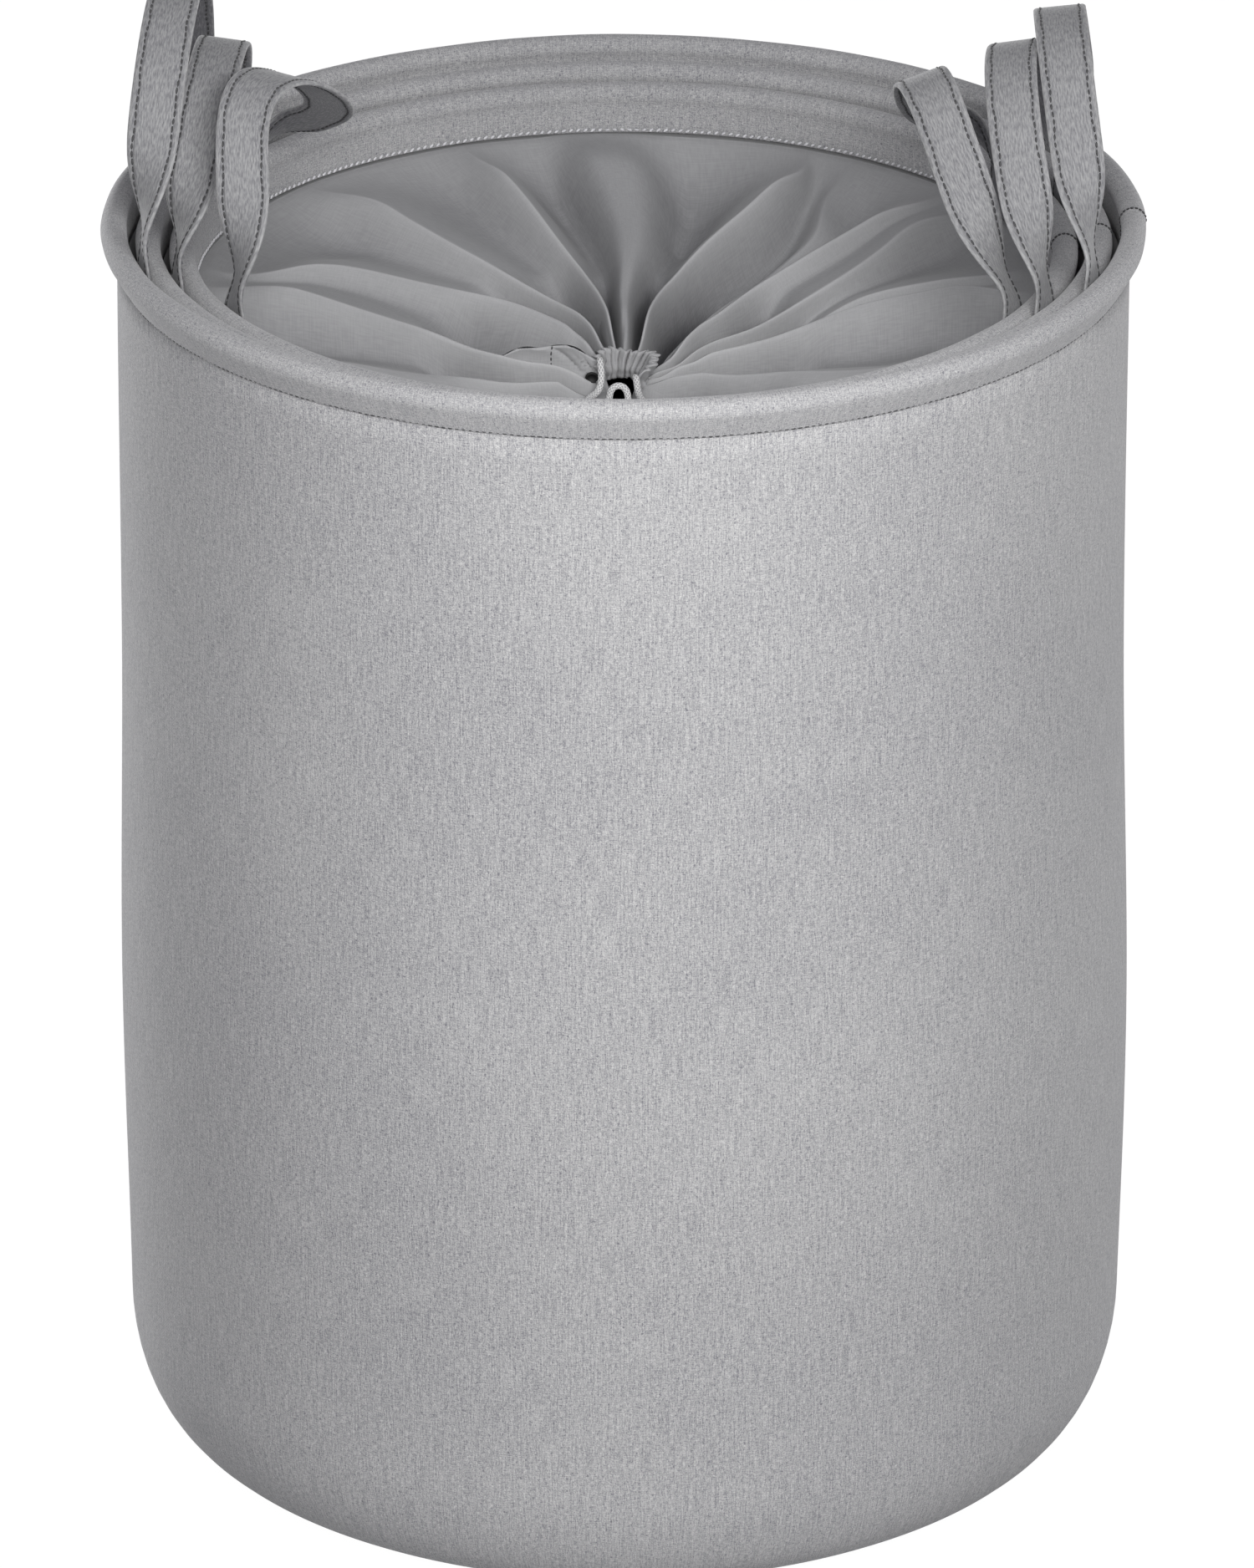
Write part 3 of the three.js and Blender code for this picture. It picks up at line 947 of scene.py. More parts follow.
@dataclass
class HamperBody:
    """Cloth wall, bottom and rim of one hamper."""

    hamper: Hamper
    finishes: Finishes
    columns: int = 288
    sway: float = 0.00045
    skin: float = 0.00015
    dome: float = 0.0003
    rim_skin: float = 0.0001
    rim_join: float = math.radians(0.4)
    pucker: float = 0.000035
    pucker_reach: float = 0.0022
    lump: float = 0.00012
    wave: float = 0.0001
    pinch_width: float = 0.00055
    pinch_depths: Triple = (0.0011, 0.0006, 0.0006)

    def wall_radius(self, height: np.ndarray) -> np.ndarray:
        """Outer radius of the wall above its rounded foot.

        Args:
            height: Heights to read.

        Returns:
            The radius at each height.
        """
        h = self.hamper
        rise = h.seam - h.base
        knots = [
            (h.base + h.corner_height, h.rim - h.low_inset),
            (h.base + 0.36 * rise, h.rim - h.belly_inset),
            (h.base + 0.66 * rise, h.rim - h.upper_inset),
            (h.seam, h.wall_outer),
        ]
        return curve_through(knots, height)

    def wall_side(self, inward: float) -> np.ndarray:
        """One face of the wall, from its foot up, moved inwards by the given depth.

        Args:
            inward: Distance from the outer face.

        Returns:
            Outline points, radius and height.
        """
        h = self.hamper
        turn = np.linspace(0.0, math.pi / 2, 13)[:-1]
        foot = np.stack(
            [
                h.foot + (h.corner_radial - inward) * np.sin(turn),
                h.base + h.corner_height - (h.corner_height - inward) * np.cos(turn),
            ],
            axis=-1,
        )
        height = np.linspace(h.base + h.corner_height, h.seam, 42)
        side = np.stack([self.wall_radius(height) - inward, height], axis=-1)
        return np.vstack([foot, side])

    def wall(self) -> bpy.types.Object:
        """Builds the wall with the slow sway of cloth between its rim and its foot.

        Returns:
            The wall.
        """
        h = self.hamper
        profile = np.vstack([self.wall_side(self.skin), self.wall_side(h.cloth)[::-1]])
        angles = even_angles(self.columns)
        height = (profile[:, 1:2] - h.base) / (h.seam - h.base)
        slack = np.sin(np.clip(height, 0, 1) * math.pi) ** 0.7
        turn = angles[None, :] + 0.7 * h.index
        sway = np.sin(3 * turn + 5.1 * height + 0.4) + 0.7 * np.sin(5 * turn - 3.7 * height + 2.0)
        sway += 0.45 * np.sin(9 * turn + 8.3 * height + 1.1)
        shift = np.zeros((len(profile), len(angles), 2))
        shift[..., 0] = self.sway * slack * sway
        piece = turned_piece(f"{h.name}_wall_cloth", profile, angles, shift)
        piece.data.materials.append(self.finishes.wall)
        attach(piece, h.body("base"))
        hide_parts(f"{h.name}_wall", f"{h.name}_foot")
        f"{h.name}_collapse"
        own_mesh(piece)
        cut = (FULL_TURN * h.rim, h.seam - h.base)
        f"{h.name}_rim_cloth"
        return piece

    def bottom(self) -> bpy.types.Object:
        """Builds the round bottom, with low waves between its middle and its edge.

        Returns:
            The bottom.
        """
        h = self.hamper
        edge = h.foot - h.clearance
        middle = np.linspace(0.0006, edge - 0.004, 14)
        radii = np.concatenate([middle, [edge - 0.0015, edge - 0.0004, edge]])
        dome = self.dome * np.sin(np.clip(radii / edge, 0, 1) * math.pi * 5)
        under = np.stack([radii, np.full_like(radii, h.base)], axis=-1)
        over = np.stack([radii, h.base + h.cloth + dome - self.dome], axis=-1)
        profile = np.vstack([under, over[::-1]])
        piece = turned_piece(f"{h.name}_bottom_cloth", profile, even_angles(144))
        piece.data.materials.append(self.finishes.base)
        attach(piece, h.body("base"))
        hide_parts(f"{h.name}_bottom")
        return piece

    def rim_outline(self) -> np.ndarray:
        """Cloth folded over the hoop, as a closed outline.

        Returns:
            Outline points, radius and height.
        """
        h = self.hamper
        middle, height = h.bead_middle

        def arc(radius: float, start: float, end: float, count: int) -> list[Pair]:
            """Points of an arc round the middle of the bead."""
            turns = np.linspace(start, end, count)
            return [(middle + radius * math.cos(a), height + radius * math.sin(a)) for a in turns]

        bead = arc(h.bead - self.rim_skin, h.skin_start, h.cloth_leaves, 26)
        foot = (h.wall_outer + 0.00002, h.seam - 0.0008)
        out, up = bead[0][0] - foot[0], bead[0][1] - foot[1]
        flank = [
            (foot[0] + out * s + 0.00008 * math.sin(math.pi * s), foot[1] + up * s)
            for s in (0.0, 0.06, 0.13, 0.22, 0.36, 0.52, 0.7, 0.86)
        ]
        leaf = [
            (h.leaf_inner + 0.0002, h.top - h.bead * 2 + 0.0012),
            (h.leaf_inner, h.seam + 0.0032),
            (h.leaf_inner, h.seam + 0.0006),
            (h.leaf_inner, h.leaf_bottom + 0.0005),
            (h.leaf_inner + 0.0005, h.leaf_bottom),
            (h.leaf_inner + h.cloth - 0.0003, h.leaf_bottom),
            (h.leaf_inner + h.cloth, h.leaf_bottom + 0.0006),
        ]
        inside = arc(h.bead - h.cloth, h.cloth_leaves, math.radians(-82), 22)
        close = [
            (h.wall_outer - h.cloth, h.top - h.bead * 2 + h.cloth),
            (h.wall_outer - h.cloth, h.seam + 0.0006),
            (h.wall_outer - 0.0004, h.seam + 0.0004),
            (h.wall_outer - 0.0004, h.seam - 0.0007),
        ]
        return np.array(flank + bead + leaf + inside + close)

    def rim(self) -> bpy.types.Object:
        """Builds the rim with small puckers at its stitches and the joint of its two ends.

        Returns:
            The rim.
        """
        h = self.hamper
        profile = self.rim_outline()
        angles = even_angles(480, (self.rim_join % FULL_TURN,))
        arc = angles[None, :] * h.rim
        shift = np.zeros((len(profile), len(angles), 2))
        out = profile[:, 0:1] - h.leaf_inner
        near_seam = np.exp(-(((profile[:, 1:2] - h.seam - 0.0008) / self.pucker_reach) ** 2))
        pucker = np.sin(FULL_TURN * arc / 0.0093) + np.sin(FULL_TURN * arc / 0.0141 + 1.0)
        shift[..., 0] += self.pucker * near_seam * pucker
        lumps = np.sin(arc / 0.017 + 0.6) + 0.8 * np.sin(arc / 0.0071 + h.index)
        on_bead = smooth_share(profile[:, 1:2], h.top - 2 * h.bead, h.top - h.bead)
        shift[..., 0] += self.lump * on_bead * lumps * np.sign(out - h.bead)
        shift[..., 1] += self.wave * on_bead * np.sin(arc / 0.023 + 2 * h.index)
        away = (angles - self.rim_join + math.pi) % FULL_TURN - math.pi
        pinch = np.exp(-((away * h.rim / self.pinch_width) ** 2))[None, :]
        inwards = unit(np.array(h.bead_middle) - profile)[:, None, :]
        visible = (profile[:, 1:2] > h.top - 1.8 * h.bead)[..., None] * (out > 0.0)[..., None]
        shift += inwards * pinch[..., None] * self.pinch_depths[h.index] * visible
        piece = turned_piece(f"{h.name}_rim_cloth", profile, angles, shift)
        piece.data.materials.append(self.finishes.rim)
        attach(piece, h.body("rim"))
        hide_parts(f"{h.name}_rim_hem")
        return piece

    def rim_stitches(self) -> bpy.types.Object:
        """Sews the row that closes the rim round its hoop.

        Returns:
            The stitches.
        """
        h = self.hamper
        angles = np.linspace(0, FULL_TURN, 481)
        radius = h.wall_outer + 0.00018 + 0.00004 * np.sin(angles * 61)
        waver = 0.00012 * np.sin(angles * 37) + 0.0001 * np.sin(angles * 83 + 1.0)
        line = ring_line(angles, radius, h.seam - 0.0001 + waver)
        thread = self.finishes.dark_thread
        sizes = {"pitch": 0.00262, "length": 0.0024, "thickness": 0.00085}
        piece = StitchRow(f"{h.name}_rim_stitches", [line], thread, **sizes).build()
        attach(piece, h.body("rim"))
        return piece

    def join_stitches(self) -> bpy.types.Object:
        """Sews the two ends of the rim cloth together, over the bead.

        Returns:
            The stitches.
        """
        h = self.hamper
        skin = self.rim_outline()[2:36]
        seam = skin + unit(skin - np.array(h.bead_middle)) * self.rim_skin
        beside = self.rim_join + 0.0004 / h.rim
        line = ring_line(beside, seam[:, 0], seam[:, 1])
        thread = self.finishes.dark_thread
        sizes = {"pitch": 0.0016, "length": 0.0015, "thickness": 0.0008}
        piece = StitchRow(f"{h.name}_join_stitches", [line], thread, **sizes).build()
        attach(piece, h.body("rim"))
        return piece

    def dress_hoop(self, nodes: dict[str, bpy.types.Object]) -> None:
        """Gives the hoop inside the rim its finish.

        Args:
            nodes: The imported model's objects by name.
        """
        hoop = nodes[f"{self.hamper.name}_rim_hoop"]
        hoop.data.materials.clear()
        hoop.data.materials.append(self.finishes.rod)

    def build(self, nodes: dict[str, bpy.types.Object]) -> None:
        """Builds the whole body of the hamper.

        Args:
            nodes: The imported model's objects by name.
        """
        for piece in (self.wall(), self.bottom(), self.rim(), self.rim_stitches(), self.join_stitches()):
            LOG.info("%s: %d faces", piece.name, len(piece.data.polygons))
        self.dress_hoop(nodes)


@dataclass(frozen=True)
class StrapShape:
    """How one handle stands: its legs, its turn round the rim and the form of its loop.

    The legs' distance and the turn are counted in facets of the rim, the rest in metres or shares.
    """

    side: Side
    leg_facets: float
    yaw_facets: float
    crown: float
    lean: float
    rise_skew: float = 0.0
    lean_skew: float = 0.0


@dataclass
class HandleStrap:
    """A strap handle, with both ends sewn inside the rim."""

    hamper: Hamper
    shape: StrapShape
    finishes: Finishes
    width: float = STRAP_WIDTH
    thickness: float = 0.002
    tail_thickness: float = 0.0015
    track: float = STRAP_TRACK
    track_depth: float = 0.3
    track_half: float = 0.00065
    roll: float = 0.1
    roll_at: float = 0.0088
    roll_half: float = 0.0009
    hinge_rise: float = 0.0022
    start_drop: float = 0.0014
    twist_end: float = 0.62
    tilt_share: float = 0.75
    loop_steps: int = 120
    tail_steps: int = 8

    @property
    def name(self) -> str:
        """Name of the handle's node."""
        return f"{self.hamper.name}_handle_{self.shape.side.name.lower()}"

    @property
    def hinge(self) -> float:
        """Height at which the strap starts to swing."""
        return self.hamper.top + self.hinge_rise

    @property
    def leg_radius(self) -> float:
        """Radius of the middle of a handle's sewn ends."""
        h, half = self.hamper, FACET / 2
        flat = (h.rim - 2 * h.bead) * math.cos(half) - h.clearance
        flat -= self.width / 2 * math.sin(half)
        return flat / math.cos(half) - self.tail_thickness / 2

    @property
    def turn(self) -> float:
        """Angle round the rim of the handle's middle."""
        return (0.0 if self.shape.side is Side.RIGHT else math.pi) + self.shape.yaw_facets * FACET

    def loop(self) -> tuple[np.ndarray, np.ndarray, np.ndarray]:
        """Middle line of the free loop with its width directions.

        Returns:
            Places, width directions and travel directions.
        """
        shape = self.shape
        spread = shape.leg_facets * FACET
        out = np.array([math.cos(self.turn), math.sin(self.turn), 0.0])
        along = np.array([-math.sin(self.turn), math.cos(self.turn), 0.0])
        up = np.array([0.0, 0.0, 1.0])
        chord, reach = self.leg_radius * math.cos(spread), self.leg_radius * math.sin(spread)
        arch = shape.crown + self.start_drop
        tilt = math.atan2(shape.lean, arch) * self.tilt_share
        across = out * math.cos(tilt) + up * math.sin(tilt)
        rise_skew = shape.side.value * shape.rise_skew
        lean_skew = shape.side.value * shape.lean_skew * shape.lean
        a = np.linspace(0, math.pi, self.loop_steps)[:, None]
        rise, fall = np.sin(a), np.cos(a)
        sway = np.sin(2 * a) * rise
        growth = 2 * np.cos(2 * a) * rise + np.sin(2 * a) * fall
        place = out * (chord - shape.lean * rise - lean_skew * sway) + along * reach * fall
        place = place + up * (self.hinge - self.start_drop + arch * (rise - rise_skew * sway))
        travel = -along * reach * rise + out * (-shape.lean * fall - lean_skew * growth)
        travel = unit(travel + up * arch * (fall - rise_skew * growth))
        in_plane = -unit(np.cross(out, travel))
        twist = math.pi / 2 * smooth_share(rise, 0.0, self.twist_end)
        width = in_plane * np.cos(twist) - across * np.sin(twist)
        width = unit(width - travel * np.sum(width * travel, axis=1, keepdims=True))
        return place, width, travel

    def tail(self, leg: int) -> tuple[np.ndarray, np.ndarray, np.ndarray]:
        """Middle line of one sewn end, from its cut edge up to the loop.

        Args:
            leg: 1 for the end at which the loop starts, -1 for the other.

        Returns:
            Places, width directions and travel directions, upwards.
        """
        h = self.hamper
        angle = self.turn + leg * self.shape.leg_facets * FACET
        height = np.linspace(h.leaf_bottom + 0.001, h.top - 0.001, self.tail_steps)
        radial = np.array([math.cos(angle), math.sin(angle), 0.0])
        place = radial[None, :] * self.leg_radius + np.outer(height, [0.0, 0.0, 1.0])
        width = np.tile(np.array([-math.sin(angle), math.cos(angle), 0.0]) * leg, (len(height), 1))
        travel = np.tile(np.array([0.0, 0.0, 1.0]), (len(height), 1))
        return place, width, travel

    def path(self) -> tuple[np.ndarray, np.ndarray, np.ndarray]:
        """The whole strap from end to end.

        Returns:
            Places, width directions and face directions.
        """
        first = self.tail(1)
        last = self.tail(-1)
        loop = self.loop()
        place = np.vstack([first[0], loop[0][2:-2], last[0][::-1]])
        width = np.vstack([first[1], loop[1][2:-2], last[1][::-1]])
        kernel = np.array([1, 2, 3, 2, 1]) / 9.0
        for _ in range(2):
            soft = np.stack([np.convolve(place[:, k], kernel, mode="same") for k in range(3)], axis=-1)
            turned = np.stack([np.convolve(width[:, k], kernel, mode="same") for k in range(3)], axis=-1)
            place[3:-3] = soft[3:-3]
            width[3:-3] = turned[3:-3]
        travel = unit(np.gradient(place, axis=0))
        width = unit(width - travel * np.sum(width * travel, axis=1, keepdims=True))
        return place, width, np.cross(travel, width)

    def fullness(self, place: np.ndarray) -> np.ndarray:
        """Share of the full thickness at each place, less at the pressed sewn ends."""
        low = self.tail_thickness / self.thickness
        return low + (1 - low) * smooth_share(place[:, 2], self.hamper.top, self.hinge + 0.008)

    def section(self) -> np.ndarray:
        """Cross-section of the folded strap: rounded edges, sunk stitch tracks, full middle.

        Returns:
            Points across and through, anticlockwise.
        """
        half = self.width / 2
        tenths = np.array([0, 2.5, 4.5, 5.9, 6.6, 7.0, 7.4, 8.1, 8.9, 9.5, 9.85, 10.0])
        aside = tenths / 10 * half
        aside = np.concatenate([-aside[::-1], aside[1:]])
        away = np.abs(aside)
        edge = np.sqrt(np.clip(1 - (away / half) ** 12, 0, 1))
        sunk = self.track_depth * np.exp(-(((away - self.track) / self.track_half) ** 2))
        rolled = self.roll * np.exp(-(((away - self.roll_at) / self.roll_half) ** 2))
        full = self.thickness / 2 * edge * (1.02 - sunk + rolled)
        lower = np.stack([aside, -full], axis=-1)
        upper = np.stack([aside[::-1], full[::-1]], axis=-1)
        return np.vstack([lower, upper[1:-1]])

    def ribbon(self) -> bpy.types.Object:
        """Builds the strap's cloth.

        Returns:
            The strap.
        """
        place, width, face = self.path()
        section = self.section()
        through = face * self.fullness(place)[:, None]
        rings = place[:, None, :] + width[:, None, :] * section[None, :, 0:1]
        rings = rings + through[:, None, :] * section[None, :, 1:2]
        across = np.repeat(np.append(section[:, 0], section[0, 0])[None, :], len(place), axis=0)
        along = np.repeat(distance_along(place)[:, None], section.shape[0] + 1, axis=1)
        piece = grid_piece(f"{self.name}_strap", rings, across, along, capped=True)
        # Marks the inner face, which the finish darkens partly as raw cloth and partly as painted shade.
        inner = np.repeat(smooth_share(section[:, 1], 0.0003, 0.0007)[None, :], len(place), axis=0)
        mark_points(piece, INSIDE_NAME, inner)
        piece.data.materials.append(self.finishes.strap)
        return piece

    def stitches(self) -> bpy.types.Object:
        """Sews both edges of the strap, through both faces.

        Returns:
            The stitches.
        """
        place, width, face = self.path()
        lift = (self.fullness(place) * self.thickness / 2 * 0.8)[1:-1, None]
        count = np.arange(len(place))
        waver = 0.00022 * np.sin(count * 0.83) + 0.00018 * np.sin(count * 0.31 + 1.0)
        rows = []
        for aside in (-self.track, self.track):
            line = place + width * (aside + waver * (1 if aside > 0 else -1))[:, None]
            rows += [line[1:-1] + face[1:-1] * lift, line[1:-1] - face[1:-1] * lift]
        thread = self.finishes.dark_thread
        sizes = {"pitch": 0.003, "length": 0.0026, "thickness": 0.0009}
        return StitchRow(f"{self.name}_stitches", rows, thread, **sizes).build()

    def build(self) -> None:
        """Builds the strap and its stitches."""
        h = self.hamper
        bodies = (h.body("rim"), f"{h.name}_{self.shape.side.name.lower()}_loop")
        cloth = self.ribbon()
        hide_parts(self.name, f"{self.name}_end_a", f"{self.name}_end_b")
        for piece in (cloth, self.stitches()):
            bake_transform(piece)
            LOG.info("%s: %d faces", piece.name, len(piece.data.polygons))


@dataclass
class HangingSleeve:
    """Open closure cloth of a larger hamper, hanging inside its wall with its cord in the casing."""

    hamper: Hamper
    finishes: Finishes
    cloth: float = 0.001
    length: float = 0.218
    casing_height: float = 0.026
    taper: float = 0.015
    outset: float = 0.0009
    depth: float = 0.006
    cord_radius: float = 0.0013
    pleat: float = 0.00022
    keep: float = 0.3

    @property
    def bottom(self) -> float:
        """Height of the sleeve's lower edge."""
        h = self.hamper
        return h.leaf_bottom - h.clearance - self.length

    def sleeve(self) -> bpy.types.Object:
        """Builds the hanging cloth with its shallow pleats.

        Returns:
            The sleeve.
        """
        h, t = self.hamper, self.cloth
        outer = h.leaf_inner + t
        wide = outer + self.outset
        narrow = wide - self.depth
        top = h.leaf_bottom - h.clearance
        casing_top = self.bottom + self.casing_height
        taper_top = casing_top + self.taper
        heights = np.linspace(top, taper_top, 16)
        inner_side = [(outer - t, z) for z in heights]
        casing = [
            (wide - t, casing_top), (wide - t, self.bottom + t), (narrow + t, self.bottom + t),
            (narrow + t, casing_top), (narrow, casing_top), (narrow, self.bottom + 0.0006),
            (narrow + 0.0006, self.bottom), (wide - 0.0006, self.bottom), (wide, self.bottom + 0.0006),
            (wide, casing_top),
        ]
        outer_side = [(outer, z) for z in heights[::-1]]
        profile = np.array([*inner_side, *casing, *outer_side])
        angles = even_angles(360)
        hung = smooth_share(top - profile[:, 1:2], 0.0, 0.06)
        pleat = np.sin(angles * 52)[None, :] + 0.6 * np.sin(angles * 31 + 1.0)[None, :]
        shift = np.zeros((len(profile), len(angles), 2))
        shift[..., 0] = self.pleat * hung * pleat
        piece = turned_piece(f"{h.name}_closure", profile, angles, shift)
        piece.data.materials.append(self.finishes.closure)
        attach(piece, h.body("rim"))
        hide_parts(f"{h.name}_cover")
        self.crumple(piece)
        f"{h.name}_rim_cloth"
        return piece

    def crumple(self, piece: bpy.types.Object) -> None:
        """Gives a piece its own copy of its mesh."""
        name, seam = self.hamper.name, (0, 0, self.hamper.leaf_bottom)
        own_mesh(piece)

    def cord(self) -> bpy.types.Object:
        """Builds the slack cord that lies in the casing.

        Returns:
            The cord.
        """
        h, r = self.hamper, self.cord_radius
        middle = h.leaf_inner + self.cloth + self.outset - self.depth / 2
        height = self.bottom + self.cloth + h.clearance + r
        turn = np.linspace(0, FULL_TURN, 13)[:-1]
        profile = np.stack([middle + r * np.cos(turn), height + r * np.sin(turn)], axis=-1)
        piece = turned_piece(f"{h.name}_casing_cord", profile, even_angles(240))
        layer = piece.data.uv_layers[UV_NAME].data
        uv = np.zeros(len(layer) * 2, dtype=np.float32)
        layer.foreach_get("uv", uv)
        pairs = uv.reshape(-1, 2)
        swapped = np.stack([pairs[:, 1] / (FULL_TURN * r), pairs[:, 0]], axis=-1)
        layer.foreach_set("uv", swapped.astype(np.float32).ravel())
        piece.data.materials.append(self.finishes.cord)
        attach(piece, h.body("rim"))
        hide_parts(f"{h.name}_drawcord")
        self.crumple(piece)
        return piece

    def build(self) -> None:
        """Builds the sleeve and the cord in its casing."""
        for piece in (self.sleeve(), self.cord()):
            LOG.info("%s: %d faces", piece.name, len(piece.data.polygons))


@dataclass(frozen=True)
class Fold:
    """One ridge of the gathered cloth.

    Its angle is in degrees at each station of radius. The side that lean names, 1 for rising
    angles, falls gently from a sharp edge. The other side is a round shoulder. The valley that
    follows it, at rising angles, is as many times the plain depth as deep says.
    """

    angles: tuple[float, ...]
    height: float
    start: float
    lean: float
    stop: float = 0.0
    sharp_share: float = 0.72
    round_share: float = 0.28
    soft: float = 0.0
    deep: float = 1.0


@dataclass
class GatheredClosure:
    """The small hamper's closure cloth, drawn together in the middle of its mouth.

    A pair of radii names where something starts and where it is complete.
    """

    hamper: Hamper
    finishes: Finishes
    cloth: float = 0.0008
    seam_radius: float = 0.1655
    sheet_cut: float = 0.175
    drop: float = 0.06
    sag_power: float = 1.7
    neck: float = 0.0085
    neck_shift: float = 0.0075
    collar_height: float = 0.012
    collar_flare: float = 0.0026
    far_slope: float = 0.2
    gather_slope: float = 2.2
    split_close: float = 0.5
    # Painted light on the cloth: painted shade in hollows and deep wedges, painted highlight on crests and
    # round shoulders.
    hollow_depth: float = 0.02
    painted_hollow_shade: float = 1.45
    hollow_power: float = 1.3
    painted_wedge_shade: Pair = (0.3, 0.75)
    painted_shoulder_light: float = 0.5
    shoulder_width: float = 0.008
    crest_width: float = 0.0011
    crest_full: float = 0.007
    valley_most: float = 0.026
    overhang: float = 0.0034
    tuck_full: float = 0.012
    ruffle: float = 0.0012
    ripple: float = 0.0006
    valley_steepens: Pair = (0.082, 0.03)
    valley_opens: Pair = (0.167, 0.125)
    valley_kept: Pair = (0.011, 0.026)
    flank_steepens: Pair = (0.085, 0.03)
    flank_softens: Pair = (0.156, 0.167)
    split_evens: Pair = (0.075, 0.035)
    edge_tucks: Pair = (0.09, 0.045)
    # Radii over which the painted shade deepens in the wedges near the gather.
    wedge_darkens: Pair = (0.095, 0.05)
    front_widens: Pair = (0.05, 0.03)
    cloth_ruffles: Pair = (0.042, 0.016)
    cloth_ripples: Pair = (0.162, 0.12)
    lip_drop: float = 0.0048
    notch: float = math.radians(-100)
    flap_left: float = -0.052
    flap_width: float = 0.0425
    flap_height: float = 0.0155
    flap_foot: Pair = (-0.0105, 0.4302)
    eyelet_place: Triple = (-0.0122, -0.0148, 0.4366)
    eyelet_half: Pair = (0.0021, 0.0018)
    floor_drop: float = 0.0062
    floor_knots: tuple[Pair, ...] = (
        (0.0, 0.95), (0.014, 0.95), (0.0215, 0.75), (0.0397, 0.65), (0.0612, 0.85),
        (0.0861, 1.0), (0.1125, 1.0), (0.1374, 0.75), (0.1556, 0.3), (0.1655, 0.0),
    )
    per_fold: int = 24
    stations: tuple[float, ...] = (0.1655, 0.14, 0.115, 0.09, 0.065, 0.04, 0.022, 0.009)
    folds: tuple[Fold, ...] = (
        Fold((-3, 1, 6, 9, 7, -2, -8, -10), 0.01, 0.166, 1.0),
        Fold((8, 9, 13.5, 17, 15, 8, 2, 0), 0.007, 0.166, 1.0, 0.08),
        Fold((31, 32.5, 30, 26, 20, 12, 8, 6), 0.011, 0.166, 1.0),
        Fold((39, 38.5, 40, 41, 41, 35, 29, 26), 0.0125, 0.166, 1.0),
        Fold((56, 55, 50, 52, 55, 54, 50, 48), 0.003, 0.158, -1.0, 0.11, 0.5, 0.5, deep=2.4),
        Fold((64, 61, 63, 66, 70, 73, 71, 69), 0.0145, 0.164, 1.0, 0.0, 0.6, 0.4, deep=2.6),
        Fold((96, 94, 91, 89, 89, 90, 89, 87), 0.0145, 0.17, -1.0, 0.0, 0.5, 0.5, soft=1.0, deep=2.8),
        Fold((113, 112, 110, 107.5, 104, 101, 100, 99), 0.013, 0.168, -1.0, deep=1.3),
        Fold((140, 136.5, 134.5, 132, 127.5, 119, 113, 111), 0.012, 0.168, -1.0),
        Fold((173, 171, 160.5, 152, 143, 133, 128, 126), 0.0105, 0.164, -1.0),
        Fold((180, 178, 177, 179, 187, 204, 212, 214), 0.0105, 0.166, -1.0),
        Fold((206, 206, 207, 208, 211, 219, 226, 228), 0.006, 0.15, -1.0),
        Fold((241, 241, 240.5, 240.5, 241, 243, 245, 247), 0.004, 0.13, 0.0),
        Fold((299, 299, 299.5, 299.5, 299.5, 299, 298, 297), 0.004, 0.13, 0.0),
        Fold((330, 330, 330, 330, 331, 331, 331, 331), 0.007, 0.155, 1.0),
    )

    @property
    def around(self) -> float:
        """Length of the seam that holds the cloth."""
        return FULL_TURN * self.seam_radius

    def sag(self, radius: np.ndarray) -> np.ndarray:
        """Height of the cloth without its folds.

        Args:
            radius: Radius of each row.

        Returns:
            The height in each row.
        """
        h = self.hamper
        gather = h.top - self.drop
        seam = h.leaf_bottom - h.clearance - self.cloth / 2
        share = np.clip(radius / self.seam_radius, 0.0, 1.0)
        return gather + (seam - gather) * share**self.sag_power

    def fold_angle(self, fold: Fold, radius: np.ndarray) -> np.ndarray:
        """Angle of a fold's ridge at each radius, in radians."""
        knots = sorted(zip(self.stations, fold.angles))
        return np.radians(curve_through(knots, radius))

    def fold_rise(self, fold: Fold, radius: np.ndarray) -> np.ndarray:
        """Height of a fold's ridge over the sag.

        Args:
            fold: The ridge.
            radius: Radius of each row.

        Returns:
            The height in each row.
        """
        grows = inward_share(radius, fold.start, fold.start - 0.042)
        fades = smooth_share(radius, 0.008, 0.036)
        ends = smooth_share(radius, fold.stop - 0.03, fold.stop + 0.02) if fold.stop else 1.0
        return fold.height * grows * (0.3 + 0.7 * fades) * ends

    def valley(self, radius: np.ndarray, width: np.ndarray, deep: float) -> np.ndarray:
        """Depth of a valley below its lower ridge.

        Args:
            radius: Radius of each row.
            width: Distance between the two ridges in each row.
            deep: How many times the plain depth.

        Returns:
            The depth in each row.
        """
        slope = self.far_slope * deep
        slope = slope + (self.gather_slope - slope) * inward_share(radius, *self.valley_steepens)
        fades = 0.25 + 0.75 * smooth_share(radius, *self.valley_kept)
        fades = inward_share(radius, *self.valley_opens) * fades
        return np.minimum(width * slope, self.valley_most) * fades

